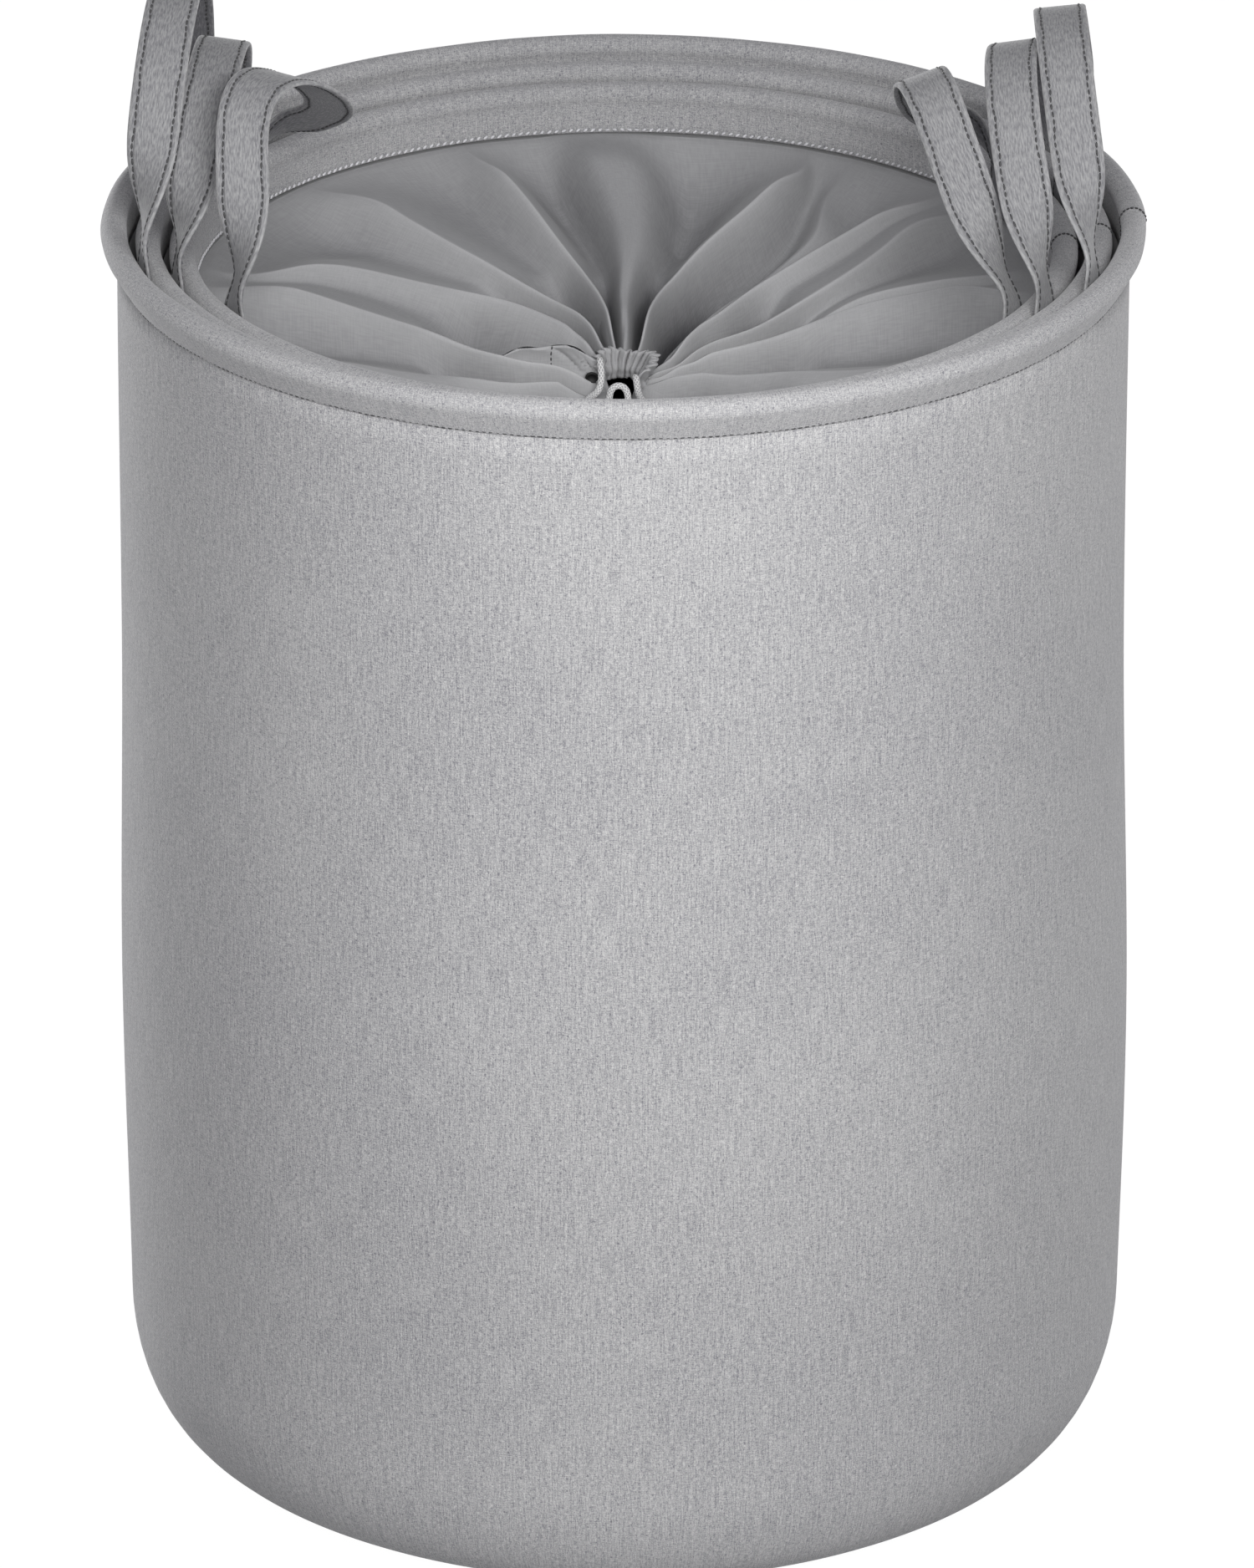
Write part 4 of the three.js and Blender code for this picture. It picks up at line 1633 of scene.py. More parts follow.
    def flank(self, fold: Fold, share: np.ndarray, radius: np.ndarray, sharp: bool) -> np.ndarray:
        """How much of the height stays on the way from a ridge to its valley.

        Args:
            fold: The ridge.
            share: How far each column is on its way.
            radius: Radius of each row.
            sharp: Whether this is the side that falls from the sharp edge.

        Returns:
            The share of the height, rows by columns or the same for all rows.
        """
        rounded = 0.5 + 0.5 * np.cos(math.pi * share ** (0.85 + 0.75 * fold.soft))
        if not sharp:
            return rounded
        soft = np.maximum(fold.soft, smooth_share(radius, *self.flank_softens))[:, None]
        steep = inward_share(radius, *self.flank_steepens)[:, None]
        level = np.clip(1 - share + 0.09 * np.sin(FULL_TURN * share) * share, 0, 1)
        return (1 - soft) * level ** (1.12 + 1.5 * steep) + soft * rounded

    def sector(
        self, radius: np.ndarray, first: Fold, second: Fold, wrap: float
    ) -> tuple[np.ndarray, np.ndarray, np.ndarray]:
        """Cloth between two neighbouring ridges.

        Args:
            radius: Radius of each row.
            first: Ridge at the sector's start.
            second: Ridge at its end, further round.
            wrap: Full turn to add to the second ridge where it passes zero.

        Returns:
            Angle, height over the sag, and painted light: 1 as a painted highlight on a ridge, down to
            below 0 as painted shade in a valley. All are rows by columns.
        """
        u = (0.5 - 0.5 * np.cos(np.linspace(0, math.pi, self.per_fold, endpoint=False)))[None, :]
        start = self.fold_angle(first, radius)[:, None]
        span = self.fold_angle(second, radius)[:, None] + wrap - start
        far = radius[:, None]
        one_side = first.sharp_share if first.lean > 0 else first.round_share
        two_side = second.sharp_share if second.lean < 0 else second.round_share
        low = one_side / (one_side + two_side)
        low = low + (self.split_close - low) * inward_share(far, *self.split_evens)
        fall, climb = np.clip(u / low, 0, 1), np.clip((1 - u) / (1 - low), 0, 1)
        rise_one = self.fold_rise(first, radius)[:, None]
        rise_two = self.fold_rise(second, radius)[:, None]
        depth = self.valley(radius, (span * far)[:, 0], first.deep)[:, None]
        floor = np.minimum(rise_one, rise_two) - depth
        left = floor + (rise_one - floor) * self.flank(first, fall, radius, first.lean > 0)
        right = floor + (rise_two - floor) * self.flank(second, climb, radius, second.lean < 0)
        height = np.where(u < low, left, right)
        inner = inward_share(far, *self.edge_tucks)
        firm_one, firm_two = rise_one * (1 - first.soft), rise_two * (1 - second.soft)
        tuck = np.sin(math.pi * climb) * (second.lean < 0) * firm_two
        tuck = tuck - np.sin(math.pi * fall) * (first.lean > 0) * firm_one
        shove = self.overhang * inner * tuck / self.tuck_full
        angle = start + span * u + shove / np.maximum(far, 0.02)
        near_one = np.hypot((angle - start) * far, height - rise_one)
        near_two = np.hypot((start + span - angle) * far, height - rise_two)
        # Painted highlight on crests and round shoulders, painted shade deepest in the narrow valleys near
        # the gather.
        strong = np.clip(np.where(u < 0.5, firm_one, firm_two) / self.crest_full, 0, 1)
        crest_light = np.exp(-((np.minimum(near_one, near_two) / self.crest_width) ** 2)) * strong
        top = rise_one + (rise_two - rise_one) * u
        hollow_shade = np.clip((top - height) / self.hollow_depth, 0, 1) ** self.hollow_power
        extra = self.painted_wedge_shade[0] + self.painted_wedge_shade[1] * (first.deep - 1)
        shade_strength = self.painted_hollow_shade * (1 + extra * inward_share(far, *self.wedge_darkens))
        shoulder = np.where(u < low, (first.lean <= 0) * near_one, (second.lean >= 0) * near_two)
        pale = np.exp(-((shoulder / self.shoulder_width) ** 2)) * (shoulder > 0)
        tone = crest_light + self.painted_shoulder_light * pale * strong - shade_strength * hollow_shade
        return angle, height, tone

    def front_floor(self, radius: np.ndarray) -> np.ndarray:
        """Height over the sag of the calm cloth at the front, on which the cord lies.

        Args:
            radius: Radius of each row.

        Returns:
            The height in each row.
        """
        share = np.interp(radius, *zip(*self.floor_knots))
        return -self.floor_drop * share - 0.0002

    def middle_sheet(self) -> tuple[np.ndarray, np.ndarray]:
        """Middle surface of the cloth up to the gather.

        Returns:
            Places, rows from the seam to the gather by columns, and painted light: painted highlight near a
            ridge, painted shade in a valley.
        """
        outer = np.linspace(self.seam_radius, 0.03, 66)
        inner = np.linspace(0.03, self.neck + 0.0006, 18)[1:]
        radius = np.concatenate([outer, inner])
        sectors = []
        count = len(self.folds)
        for k, fold in enumerate(self.folds):
            wrap = FULL_TURN if k == count - 1 else 0.0
            sectors.append(self.sector(radius, fold, self.folds[(k + 1) % count], wrap))
        angle, rise, ridge = (np.concatenate(part, axis=1) for part in zip(*sectors))
        far = np.broadcast_to(radius[:, None], angle.shape)
        away = np.abs((angle % FULL_TURN) - math.radians(270))
        wide = np.radians(24 + 14 * inward_share(far, *self.front_widens))
        front = smooth_share(-away, -wide - math.radians(12), -wide)
        rise = rise * (1 - front) + self.front_floor(radius)[:, None] * front
        near = inward_share(far, *self.cloth_ruffles) * smooth_share(far, 0.008, 0.013)
        ruffle = np.sin(angle * 21 + 0.8 * np.sin(angle * 5)) + 0.5 * np.sin(angle * 34 + far * 300)
        rise = rise + self.ruffle * near * ruffle * (1 - 0.8 * front)
        slow = np.sin(angle * 7 + far * 60) + 0.7 * np.sin(angle * 12 - far * 95 + 2.0)
        between = inward_share(far, *self.cloth_ripples) * smooth_share(far, 0.03, 0.06)
        rise = rise + self.ripple * slow * between * (1 - front)
        height = self.sag(radius)[:, None] + rise
        places = ring_line(angle, far, height)
        places[..., 1] -= self.neck_shift * inward_share(far, 0.038, self.neck + 0.001)
        return places, ridge * (1 - front)

    def collar(self, last: np.ndarray) -> np.ndarray:
        """Pleated casing that stands at the gather, lower at its front.

        Args:
            last: The cloth's innermost row.

        Returns:
            Rows of places above it.
        """
        h = self.hamper
        gather = h.top - self.drop
        angle = np.arctan2(last[:, 1] + self.neck_shift, last[:, 0])
        away = np.abs((angle - self.notch + math.pi) % FULL_TURN - math.pi)
        open_front = 1 - smooth_share(away, math.radians(30), math.radians(56))
        tall = 1 - 0.95 * open_front
        right = smooth_share(np.cos(angle - math.radians(10)), 0.3, 1.0)
        rows = []
        for share in np.linspace(0.07, 1.0, 16):
            turn = angle + 0.2 * share**2
            pleat = np.sin(turn * 21 + 0.8 * np.sin(angle * 5)) + 0.35 * np.sin(turn * 37 + 1.0)
            flare = self.collar_flare * share**2.2 * (1 + 0.5 * right)
            pinch = 0.0011 * math.exp(-(((share - 0.42) / 0.13) ** 2))
            radius = self.neck + flare - pinch + self.ruffle * pleat * (0.6 + 0.6 * share)
            uneven = 1 + 0.09 * np.sin(angle * 3 + 1.0) * share
            rise = self.collar_height * share * tall * uneven
            height = gather - self.lip_drop * open_front + rise
            rows.append(ring_line(angle, radius, height) - (0.0, self.neck_shift, 0.0))
        return np.stack(rows)

    def cloth_piece(self) -> bpy.types.Object:
        """Builds the gathered cloth as a closed sheet.

        Returns:
            The cloth.
        """
        sheet, ridge = self.middle_sheet()
        collar = self.collar(sheet[-1])
        sheet = np.concatenate([sheet, collar])
        # Painted highlight along the collar's top edge.
        collar_top_highlight = np.zeros(collar.shape[:2])
        collar_top_highlight[-2:] = 0.7
        ridge = np.concatenate([ridge, collar_top_highlight])
        down_rows = np.gradient(sheet, axis=0)
        round_it = np.roll(sheet, -1, axis=1) - np.roll(sheet, 1, axis=1)
        normal = unit(np.cross(down_rows, round_it))
        normal[0] = (0.0, 0.0, 1.0)
        upper = sheet + normal * self.cloth / 2
        lower = sheet - normal * self.cloth / 2
        rings = np.concatenate([lower[::-1], upper])
        lengths = np.linalg.norm(np.diff(rings, axis=0), axis=2).mean(axis=1)
        travelled = np.cumsum([0.0, *lengths, self.cloth])
        columns = rings.shape[1]
        share = np.arange(columns + 1) / columns
        across = np.repeat((share * self.around)[None, :], len(travelled), axis=0)
        along = np.repeat(travelled[:, None], columns + 1, axis=1)
        piece = grid_piece(f"{self.hamper.name}_closure", rings, across, along, wrap_rows=True)
        mark_points(piece, FOLD_LIGHT_NAME, np.concatenate([ridge[::-1], ridge]))
        piece.data.materials.append(self.finishes.closure)
        area = sum(p.area for p in piece.data.polygons) / 2
        LOG.info("closure cloth area %.4f square metres", area)
        return piece

    def casing_flap(self) -> tuple[bpy.types.Object, np.ndarray]:
        """Builds the flat part of the casing that the cord leaves ungathered on the left.

        Returns:
            The flap, and the line of the short upright seam across it.
        """
        run, rise = np.meshgrid(np.linspace(0, 1, 64), np.linspace(0, 1, 22))
        rest = 1 - run
        tall = self.flap_height * (0.4 + 0.6 * smooth_share(run, 0.0, 0.4))
        tall -= 0.0026 * smooth_share(run, 0.76, 1.0)
        crease = (run - 0.62 + 0.5 * (rise - 0.9)) / 0.035
        fold = np.exp(-(crease**2)) * smooth_share(rise, 0.25, 0.6)
        rays = np.sin(30 * np.arctan2(rise - 0.42, 1.04 - run))
        pucker = rays * np.exp(-((rest / 0.22) ** 2))
        x = self.flap_left + self.flap_width * run
        y = self.flap_foot[0] - 0.004 * (1 - rise) ** 1.5 + 0.005 * rest**2
        y += 0.0032 * np.sin(math.pi * run) * np.sin(math.pi * rise * 0.7)
        y += 0.0011 * fold - 0.0006 * pucker * np.sin(math.pi * rise)
        z = self.flap_foot[1] + tall * rise + 0.0026 * rest**2
        z += 0.0012 * np.sin(run * 11) * rise
        sheet = np.stack([x, y, z], axis=-1)
        normal = unit(np.cross(np.gradient(sheet, axis=1), np.gradient(sheet, axis=0)))
        half = self.cloth * 0.9
        front, rear = sheet + normal * half, sheet - normal * half
        rings = np.concatenate([front, rear[:, ::-1]], axis=1)
        columns = rings.shape[1]
        there_and_back = np.concatenate([x[0], x[0, ::-1], x[0, :1]])
        across = np.repeat(there_and_back[None, :], len(rings), axis=0)
        along = np.repeat(rise[:, :1] * 0.0145, columns + 1, axis=1)
        piece = grid_piece(f"{self.hamper.name}_casing_flap", rings, across, along, capped=True)
        # Painted highlight along the flap's top edge.
        edge = smooth_share(rise[:, :1], 0.93, 1.0)
        mark_points(piece, FOLD_LIGHT_NAME, np.repeat(edge, columns, axis=1))
        piece.data.materials.append(self.finishes.closure)
        return piece, sheet[1:-1, 36] + normal[1:-1, 36] * (half + 0.0001)

    def flap_stitches(self, seam: np.ndarray) -> bpy.types.Object:
        """Sews the short upright seam along the given line across the flap."""
        name, sizes = f"{self.hamper.name}_flap_stitches", (0.0021, 0.0017, 0.0006)
        return StitchRow(name, [seam], self.finishes.dark_thread, *sizes).build()

    def eyelet(self) -> bpy.types.Object:
        """Builds the sewn eyelet beside the cord; its near-black colour is painted shade of the deep hole
        there.

        Returns:
            The eyelet.
        """
        turn = np.arange(28) / 28 * FULL_TURN
        wide, tall = self.eyelet_half
        steps = (
            (0.02, 0.0), (0.75, 0.0), (0.92, 0.0006), (1.08, 0.0006),
            (1.2, 0.0), (1.2, -0.0006), (0.02, -0.0006),
        )
        rings = []
        for grow, forward in steps:
            wave = 1 + 0.05 * np.sin(turn * 14) * (grow > 0.8)
            x, z = wide * grow * wave * np.cos(turn), tall * grow * wave * np.sin(turn)
            rings.append(np.stack([x, np.full_like(turn, -forward), z], axis=-1))
        points = np.stack(rings) + self.eyelet_place
        across = np.repeat(np.linspace(0, 0.004, 7)[:, None], 29, axis=1)
        along = np.repeat(np.linspace(0, 0.01, 29)[None, :], 7, axis=0)
        piece = grid_piece(f"{self.hamper.name}_eyelet", points[::-1], across, along, capped=True)
        # Near-black painted shade of the deep hole beside the cord.
        piece.data.materials.append(self.finishes.painted_hole_shade)
        return piece

    def seam_stitches(self) -> bpy.types.Object:
        """Sews the closure to the rim's inner leaf with slanting pale stitches.

        Returns:
            The stitches.
        """
        h = self.hamper
        angles = np.linspace(0, FULL_TURN, 481)
        height = h.leaf_bottom + 0.0014 + 0.0001 * np.sin(angles * 53)
        line = ring_line(angles, h.leaf_inner - 0.0005, height)
        name, sizes = f"{h.name}_closure_stitches", (0.0029, 0.0024, 0.001)
        row = StitchRow(name, [line], self.finishes.pale_thread, *sizes, Direction.WHIPPED)
        return row.build()

    def build(self) -> None:
        """Builds the gathered cloth with its casing and its seams."""
        h = self.hamper
        cloth = self.cloth_piece()
        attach(cloth, h.body("rim"))
        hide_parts(f"{h.name}_cover")
        flap, seam = self.casing_flap()
        trim = (self.flap_stitches(seam), self.eyelet(), self.seam_stitches())
        for piece in (flap, *trim):
            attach(piece, h.body("rim"))
        f"{h.name}_rim_cloth"
        for piece in (cloth, flap, *trim):
            LOG.info("%s: %d faces", piece.name, len(piece.data.polygons))


@dataclass
class Drawcord:
    """The small hamper's drawcord: out of the casing, into a flat coil, and back."""

    finishes: Finishes
    diameter: float = 0.0026
    sides: int = 12
    loop_steps: int = 24
    ease_rounds: int = 4
    layer_turns: int = 4
    coil_radius: float = 0.021
    coil_pitch: float = 0.0031
    coil_tilt: float = 0.31
    coil_centre: Triple = (0.0, -0.105, 0.4454)
    knot_gap: float = 0.0006
    step: float = 0.0012
    tie_rows: tuple[Pair, ...] = (
        (-0.0017, 0.0), (-0.0019, 0.0003), (-0.0017, 0.0006),
        (0.0017, 0.0006), (0.0019, 0.0003), (0.0017, 0.0),
    )
    left_points: tuple[Triple, ...] = (
        (-0.0089, -0.0112, 0.4408), (-0.0091, -0.0118, 0.4424), (-0.0091, -0.0136, 0.4438),
        (-0.009, -0.0157, 0.4438), (-0.0087, -0.0176, 0.4418), (-0.0084, -0.019, 0.4388),
        (-0.0088, -0.021, 0.4356), (-0.0104, -0.0242, 0.4338), (-0.0127, -0.0279, 0.434),
        (-0.0139, -0.0317, 0.434), (-0.0125, -0.0354, 0.434), (-0.0083, -0.0361, 0.434),
        (-0.0056, -0.0326, 0.4343), (-0.0052, -0.0281, 0.4359), (-0.0036, -0.0251, 0.4374),
        (-0.0008, -0.0249, 0.4376), (0.0012, -0.0266, 0.4361), (0.0018, -0.03, 0.4334),
        (0.0014, -0.036, 0.4326), (-0.0014, -0.046, 0.4327), (-0.008, -0.058, 0.4346),
        (-0.0145, -0.07, 0.4374), (-0.0156, -0.079, 0.4394), (-0.011, -0.0836, 0.4412),
        (-0.0056, -0.08405, 0.44194), (-0.0029, -0.08405, 0.44194),
    )
    right_points: tuple[Triple, ...] = (
        (0.0044, -0.0129, 0.4358), (0.0046, -0.0145, 0.4371), (0.0049, -0.0165, 0.4365),
        (0.0052, -0.0188, 0.4346), (0.0057, -0.0224, 0.433), (0.0082, -0.032, 0.4328),
        (0.0116, -0.046, 0.4338), (0.0154, -0.06, 0.4356), (0.0176, -0.072, 0.4377),
        (0.015, -0.081, 0.439), (0.01, -0.0846, 0.4392), (0.0056, -0.085, 0.43899),
        (0.0029, -0.085, 0.43899),
    )

    def placed(
        self, x: np.ndarray | float, y: np.ndarray | float, z: np.ndarray | float
    ) -> np.ndarray:
        """Puts points of the flat coil in their tilted place.

        Args:
            x: X of the points.
            y: Y of the points, in the plane of the coil.
            z: Height of the points over that plane.

        Returns:
            The places.
        """
        cos_t, sin_t = math.cos(-self.coil_tilt), math.sin(-self.coil_tilt)
        tilted = np.stack([x, y * cos_t - z * sin_t, y * sin_t + z * cos_t], axis=-1)
        return tilted + self.coil_centre

    def coil(self) -> np.ndarray:
        """Line of the coil: in along the lower layer, up, and out along the upper one.

        Returns:
            Places from the lower end to the upper end.
        """
        turn = np.arange(2 * self.layer_turns * self.loop_steps + 1) / self.loop_steps
        depth = self.layer_turns - np.abs(turn - self.layer_turns)
        r = self.coil_radius - self.coil_pitch * depth
        climb = np.clip((turn - self.layer_turns + 0.25) / 0.5, 0.0, 1.0)
        a = turn * FULL_TURN + math.pi / 2
        start = self.placed(self.diameter, self.coil_radius, 0.0)
        turns = self.placed(r * np.cos(a), r * np.sin(a), self.coil_pitch * climb)
        end = self.placed(-self.diameter, self.coil_radius, self.coil_pitch)
        return np.vstack([start, turns, end])

    def route(self) -> np.ndarray:
        """The cord's whole line, from the left of the casing round the coil and back to its right.

        Returns:
            Places a little over a millimetre apart.
        """
        knots = np.array([*self.left_points, *self.coil()[::-1], *self.right_points[::-1]])
        apart = np.linalg.norm(np.diff(knots, axis=0), axis=1) > self.knot_gap
        knots = knots[np.concatenate([[True], apart])]
        padded = np.vstack([2 * knots[0] - knots[1], knots, 2 * knots[-1] - knots[-2]])
        fine = []
        for k in range(1, len(padded) - 2):
            p0, p1, p2, p3 = padded[k - 1 : k + 3]
            gaps = [max(float(np.linalg.norm(b - a)) ** 0.5, 1e-6) for a, b in ((p0, p1), (p1, p2), (p2, p3))]
            m1 = (p2 - p1) + gaps[1] * ((p1 - p0) / gaps[0] - (p2 - p0) / (gaps[0] + gaps[1]))
            m2 = (p2 - p1) + gaps[1] * ((p3 - p2) / gaps[2] - (p3 - p1) / (gaps[1] + gaps[2]))
            count = max(2, int(round(float(np.linalg.norm(p2 - p1)) / self.step)))
            for t in np.linspace(0, 1, count, endpoint=False):
                a, b = 2 * t**3 - 3 * t**2 + 1, t**3 - 2 * t**2 + t
                c, d = -2 * t**3 + 3 * t**2, t**3 - t**2
                fine.append(a * p1 + b * m1 + c * p2 + d * m2)
        fine.append(padded[-2])
        return self.eased(np.array(fine))

    def eased(self, line: np.ndarray) -> np.ndarray:
        """Rounds the tight turns of a line and keeps its ends in place.

        Args:
            line: Places along the line.

        Returns:
            The rounded places.
        """
        soft = line.copy()
        for _ in range(self.ease_rounds):
            soft[1:-1] = (soft[:-2] + 2 * soft[1:-1] + soft[2:]) / 4
        return soft

    def tube(self, name: str, line: np.ndarray, radius: float) -> bpy.types.Object:
        """Makes a round tube along a line, with its UV round and along the cord.

        Args:
            name: Name of the piece.
            line: Places along the middle.
            radius: Radius of the tube.

        Returns:
            The tube.
        """
        travel = unit(np.gradient(line, axis=0))
        side = unit(np.cross(travel[0], [0.0, 0.0, 1.0]))
        sides = []
        for direction in travel:
            side = side - direction * float(side @ direction)
            side = side / np.linalg.norm(side)
            sides.append(side)
        across_dir = np.array(sides)
        up_dir = np.cross(travel, across_dir)
        turn = (np.arange(self.sides) / self.sides * FULL_TURN)[None, :, None]
        ring = across_dir[:, None, :] * np.cos(turn) + up_dir[:, None, :] * np.sin(turn)
        ring = radius * ring
        across = np.repeat((np.arange(self.sides + 1) / self.sides)[None, :], len(line), axis=0)
        along = np.repeat(distance_along(line)[:, None], self.sides + 1, axis=1)
        return grid_piece(name, line[:, None, :] + ring, across, along, capped=True)

    def tie(self) -> bpy.types.Object:
        """Builds the narrow tie that holds the coil's turns together.

        Returns:
            The tie.
        """
        middle = -(self.coil_radius - self.coil_pitch * self.layer_turns / 2)
        level = self.coil_pitch / 2
        half_y = self.coil_pitch * self.layer_turns / 2 + self.diameter * 0.62
        half_z = level + self.diameter * 0.66
        turn = np.linspace(0, FULL_TURN, 41)[:-1]
        side, over = (np.sign(s) * np.abs(s) ** 0.45 for s in (np.cos(turn), np.sin(turn)))
        rings = []
        for x, grow in self.tie_rows:
            y, z = middle + (half_y + grow) * side, level + (half_z + grow) * over
            rings.append(self.placed(np.full_like(y, x), y, z))
        points = np.stack(rings)
        steps = np.linspace(0, 0.006, 7)
        across = np.repeat(steps[:, None], 41, axis=1)
        along = np.repeat(np.linspace(0, 0.04, 41)[None, :], 7, axis=0)
        piece = grid_piece("inner_drawcord_tie", points, across, along, wrap_rows=True)
        piece.data.materials.append(self.finishes.closure)
        return piece

    def build(self) -> None:
        line = self.route()
        piece = self.tube("inner_drawcord", line, self.diameter / 2)
        piece.data.materials.append(self.finishes.cord)
        tie = self.tie()
        for made in (piece, tie):
            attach(made, "inner_rim")
        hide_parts("inner_drawcord_left", "inner_drawcord_coil", "inner_drawcord_right")


# Studio


@dataclass(frozen=True)
class Lamp:
    """One soft lamp: where it stands and points, its width and height, its power in watts."""

    name: str
    place: Triple
    aim: Triple
    size: Pair
    power: float

    def build(self) -> None:
        """Adds the lamp to the scene."""
        data = bpy.data.lights.new(self.name, "AREA")
        data.shape = "RECTANGLE"
        data.size, data.size_y = self.size
        data.energy = self.power
        aimed(bpy.data.objects.new(self.name, data), self.place, self.aim)


def aimed(piece: bpy.types.Object, place: tuple[float, ...], aim: tuple[float, ...]) -> None:
    """Puts a camera or a lamp in its place and points it.

    Args:
        piece: The camera or the lamp.
        place: Where it stands.
        aim: Where it points.
    """
    bpy.context.scene.collection.objects.link(piece)
    piece.location = place
    piece.rotation_mode = "QUATERNION"
    piece.rotation_quaternion = (Vector(aim) - Vector(place)).to_track_quat("-Z", "Y")


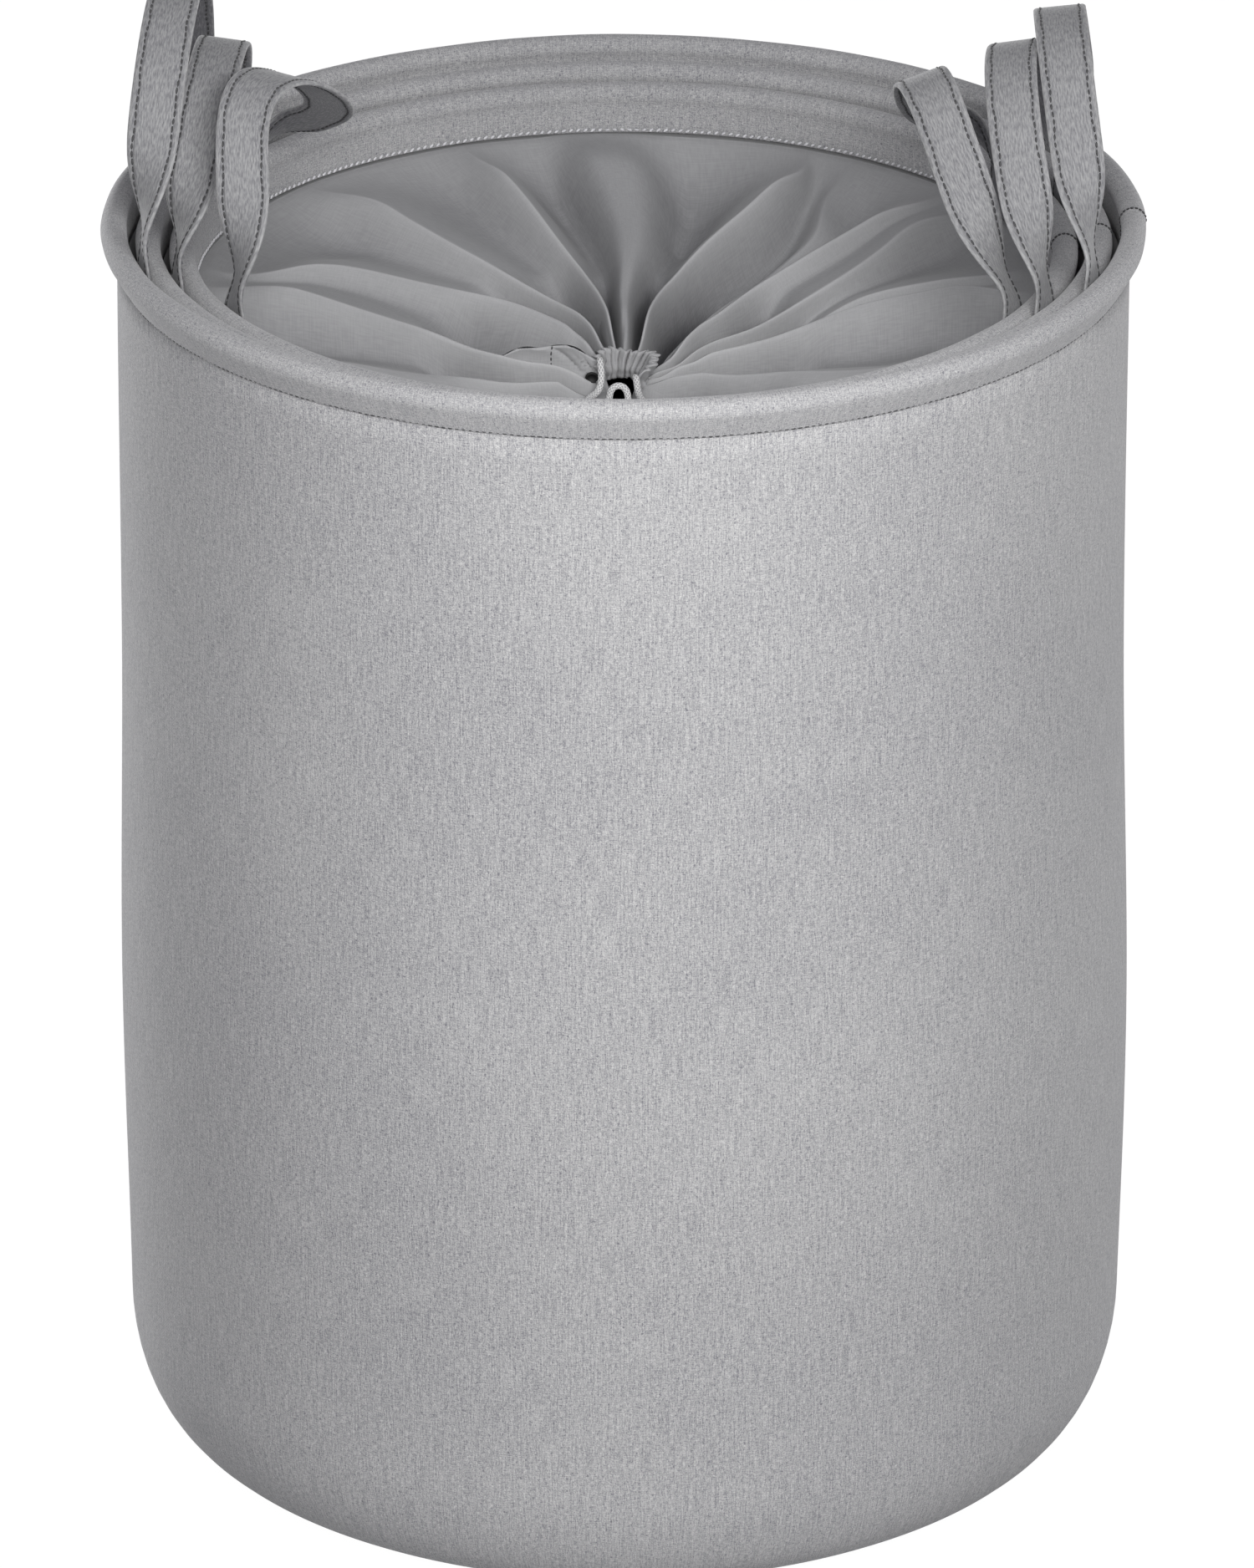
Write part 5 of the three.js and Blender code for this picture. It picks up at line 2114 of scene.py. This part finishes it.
@dataclass
class Studio:
    """Camera, floor, lamps and the white surroundings."""

    look_at: Triple = (0.0013, 0.0, 0.2595)
    camera_place: Triple = (0.0013, -3.918, 1.997)
    lens: float = 251.35
    floor_size: float = 14.0
    sky: tuple[float, float, float, float] = (0.93, 0.93, 1.0, 1.0)
    sky_level: float = 0.22
    floor_grey: tuple[float, float, float, float] = (0.38, 0.38, 0.385, 1.0)
    floor_glow: float = 1.1
    glow_share: float = 0.9
    lamps: tuple[Lamp, ...] = (
        Lamp("key", (0.16, -1.2, 1.15), (0, 0, 0.42), (0.9, 0.3), 15),
        Lamp("front", (0.25, -2.0, 0.3), (0, 0, 0.2), (1.4, 0.3), 8.3),
        Lamp("back_left", (-1.3, 1.6, 0.32), (0, 0, 0.24), (0.9, 0.4), 25),
        Lamp("back_right", (1.4, 1.5, 0.32), (0, 0, 0.24), (0.9, 0.4), 9),
    )

    def camera(self) -> None:
        """Sets the camera at the photograph's viewpoint."""
        data = bpy.data.cameras.new("photo_view")
        data.sensor_fit = "VERTICAL"
        data.sensor_height = 36.0
        data.lens = self.lens
        data.clip_start, data.clip_end = 0.1, 60.0
        piece = bpy.data.objects.new("photo_view", data)
        aimed(piece, self.camera_place, self.look_at)
        bpy.context.scene.camera = piece

    def seen_directly(self, tree: bpy.types.NodeTree) -> Socket:
        """One where a ray comes from the camera, a mirror or glass.

        Args:
            tree: Node tree to add to.

        Returns:
            The share.
        """
        path = tree.nodes.new("ShaderNodeLightPath")
        most = path.outputs["Is Camera Ray"]
        for title in ("Is Glossy Ray", "Is Transmission Ray"):
            made = tree.nodes.new("ShaderNodeMath")
            made.operation = "MAXIMUM"
            tree.links.new(most, made.inputs[0])
            tree.links.new(path.outputs[title], made.inputs[1])
            most = made.outputs["Value"]
        return most

    def surroundings(self) -> None:
        """Gives the world its soft fill, and white where it is seen."""
        world = bpy.data.worlds.new("studio")
        bpy.context.scene.world = world
        world.use_nodes = True
        tree = world.node_tree
        fill = tree.nodes["Background"]
        fill.inputs["Color"].default_value = self.sky
        fill.inputs["Strength"].default_value = self.sky_level
        white = tree.nodes.new("ShaderNodeBackground")
        white.inputs["Color"].default_value = (1.0, 1.0, 1.0, 1.0)
        mix = tree.nodes.new("ShaderNodeMixShader")
        tree.links.new(self.seen_directly(tree), mix.inputs["Fac"])
        tree.links.new(fill.outputs["Background"], mix.inputs[1])
        tree.links.new(white.outputs["Background"], mix.inputs[2])
        tree.links.new(mix.outputs["Shader"], tree.nodes["World Output"].inputs["Surface"])

    def floor(self) -> None:
        """Lays the pale floor, which keeps the object's shadow."""
        half = self.floor_size / 2
        mesh = bpy.data.meshes.new("floor")
        corners = [(x * half, y * half, 0) for x, y in ((-1, -1), (1, -1), (1, 1), (-1, 1))]
        mesh.from_pydata(corners, [], [(0, 1, 2, 3)])
        piece = plain_object("floor", mesh)
        material = bpy.data.materials.new("studio_floor")
        material.use_nodes = True
        tree = material.node_tree
        cloth = tree.nodes["Principled BSDF"]
        cloth.inputs["Base Color"].default_value = self.floor_grey
        cloth.inputs["Roughness"].default_value = 0.95
        glow = tree.nodes.new("ShaderNodeEmission")
        glow.inputs["Color"].default_value = (1.0, 1.0, 1.0, 1.0)
        glow.inputs["Strength"].default_value = self.floor_glow
        share = tree.nodes.new("ShaderNodeMath")
        share.operation = "MULTIPLY"
        share.inputs[1].default_value = self.glow_share
        mix = tree.nodes.new("ShaderNodeMixShader")
        tree.links.new(self.seen_directly(tree), share.inputs[0])
        tree.links.new(share.outputs["Value"], mix.inputs["Fac"])
        tree.links.new(cloth.outputs["BSDF"], mix.inputs[1])
        tree.links.new(glow.outputs["Emission"], mix.inputs[2])
        tree.links.new(mix.outputs["Shader"], tree.nodes["Material Output"].inputs["Surface"])
        piece.data.materials.append(material)

    def build(self) -> None:
        """Sets up the light, the floor and the colour management."""
        self.surroundings()
        self.floor()
        for lamp in self.lamps:
            lamp.build()
        bpy.context.scene.view_settings.view_transform = "Standard"


def main() -> None:
    """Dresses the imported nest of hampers."""
    logging.basicConfig(level=logging.INFO, format="%(name)s: %(message)s")
    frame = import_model()
    studio = Studio()
    studio.camera()
    finishes = Finishes()
    Drawcord(finishes).build()
    outer = Hamper("outer", 0, 0.0)
    middle = Hamper("middle", 1, 0.0065, wall_keep=0.16)
    inner = Hamper("inner", 2, 0.0105, wall_keep=0.149)
    for hamper in (outer, middle, inner):
        HamperBody(hamper, finishes).build(frame["nodes"])
    straps = (
        (outer, StrapShape(Side.RIGHT, 2, 0, crown=0.076, lean=0.011)),
        (outer, StrapShape(Side.LEFT, 2, -0.5, crown=0.082, lean=0.006)),
        (middle, StrapShape(Side.RIGHT, 2, -0.5, crown=0.0735, lean=0.017)),
        (middle, StrapShape(Side.LEFT, 2, -0.5, crown=0.0645, lean=0.010)),
        (inner, StrapShape(Side.RIGHT, 2.5, 0, crown=0.061, lean=0.035, rise_skew=0.32)),
        (inner, StrapShape(Side.LEFT, 2.5, 0, 0.061, 0.023, rise_skew=0.32, lean_skew=0.8)),
    )
    for hamper, shape in straps:
        HandleStrap(hamper, shape, finishes).build()
    for hamper in (outer, middle):
        HangingSleeve(hamper, finishes).build()
    GatheredClosure(inner, finishes).build()
    studio.build()


if __name__ == "__main__":
    main()
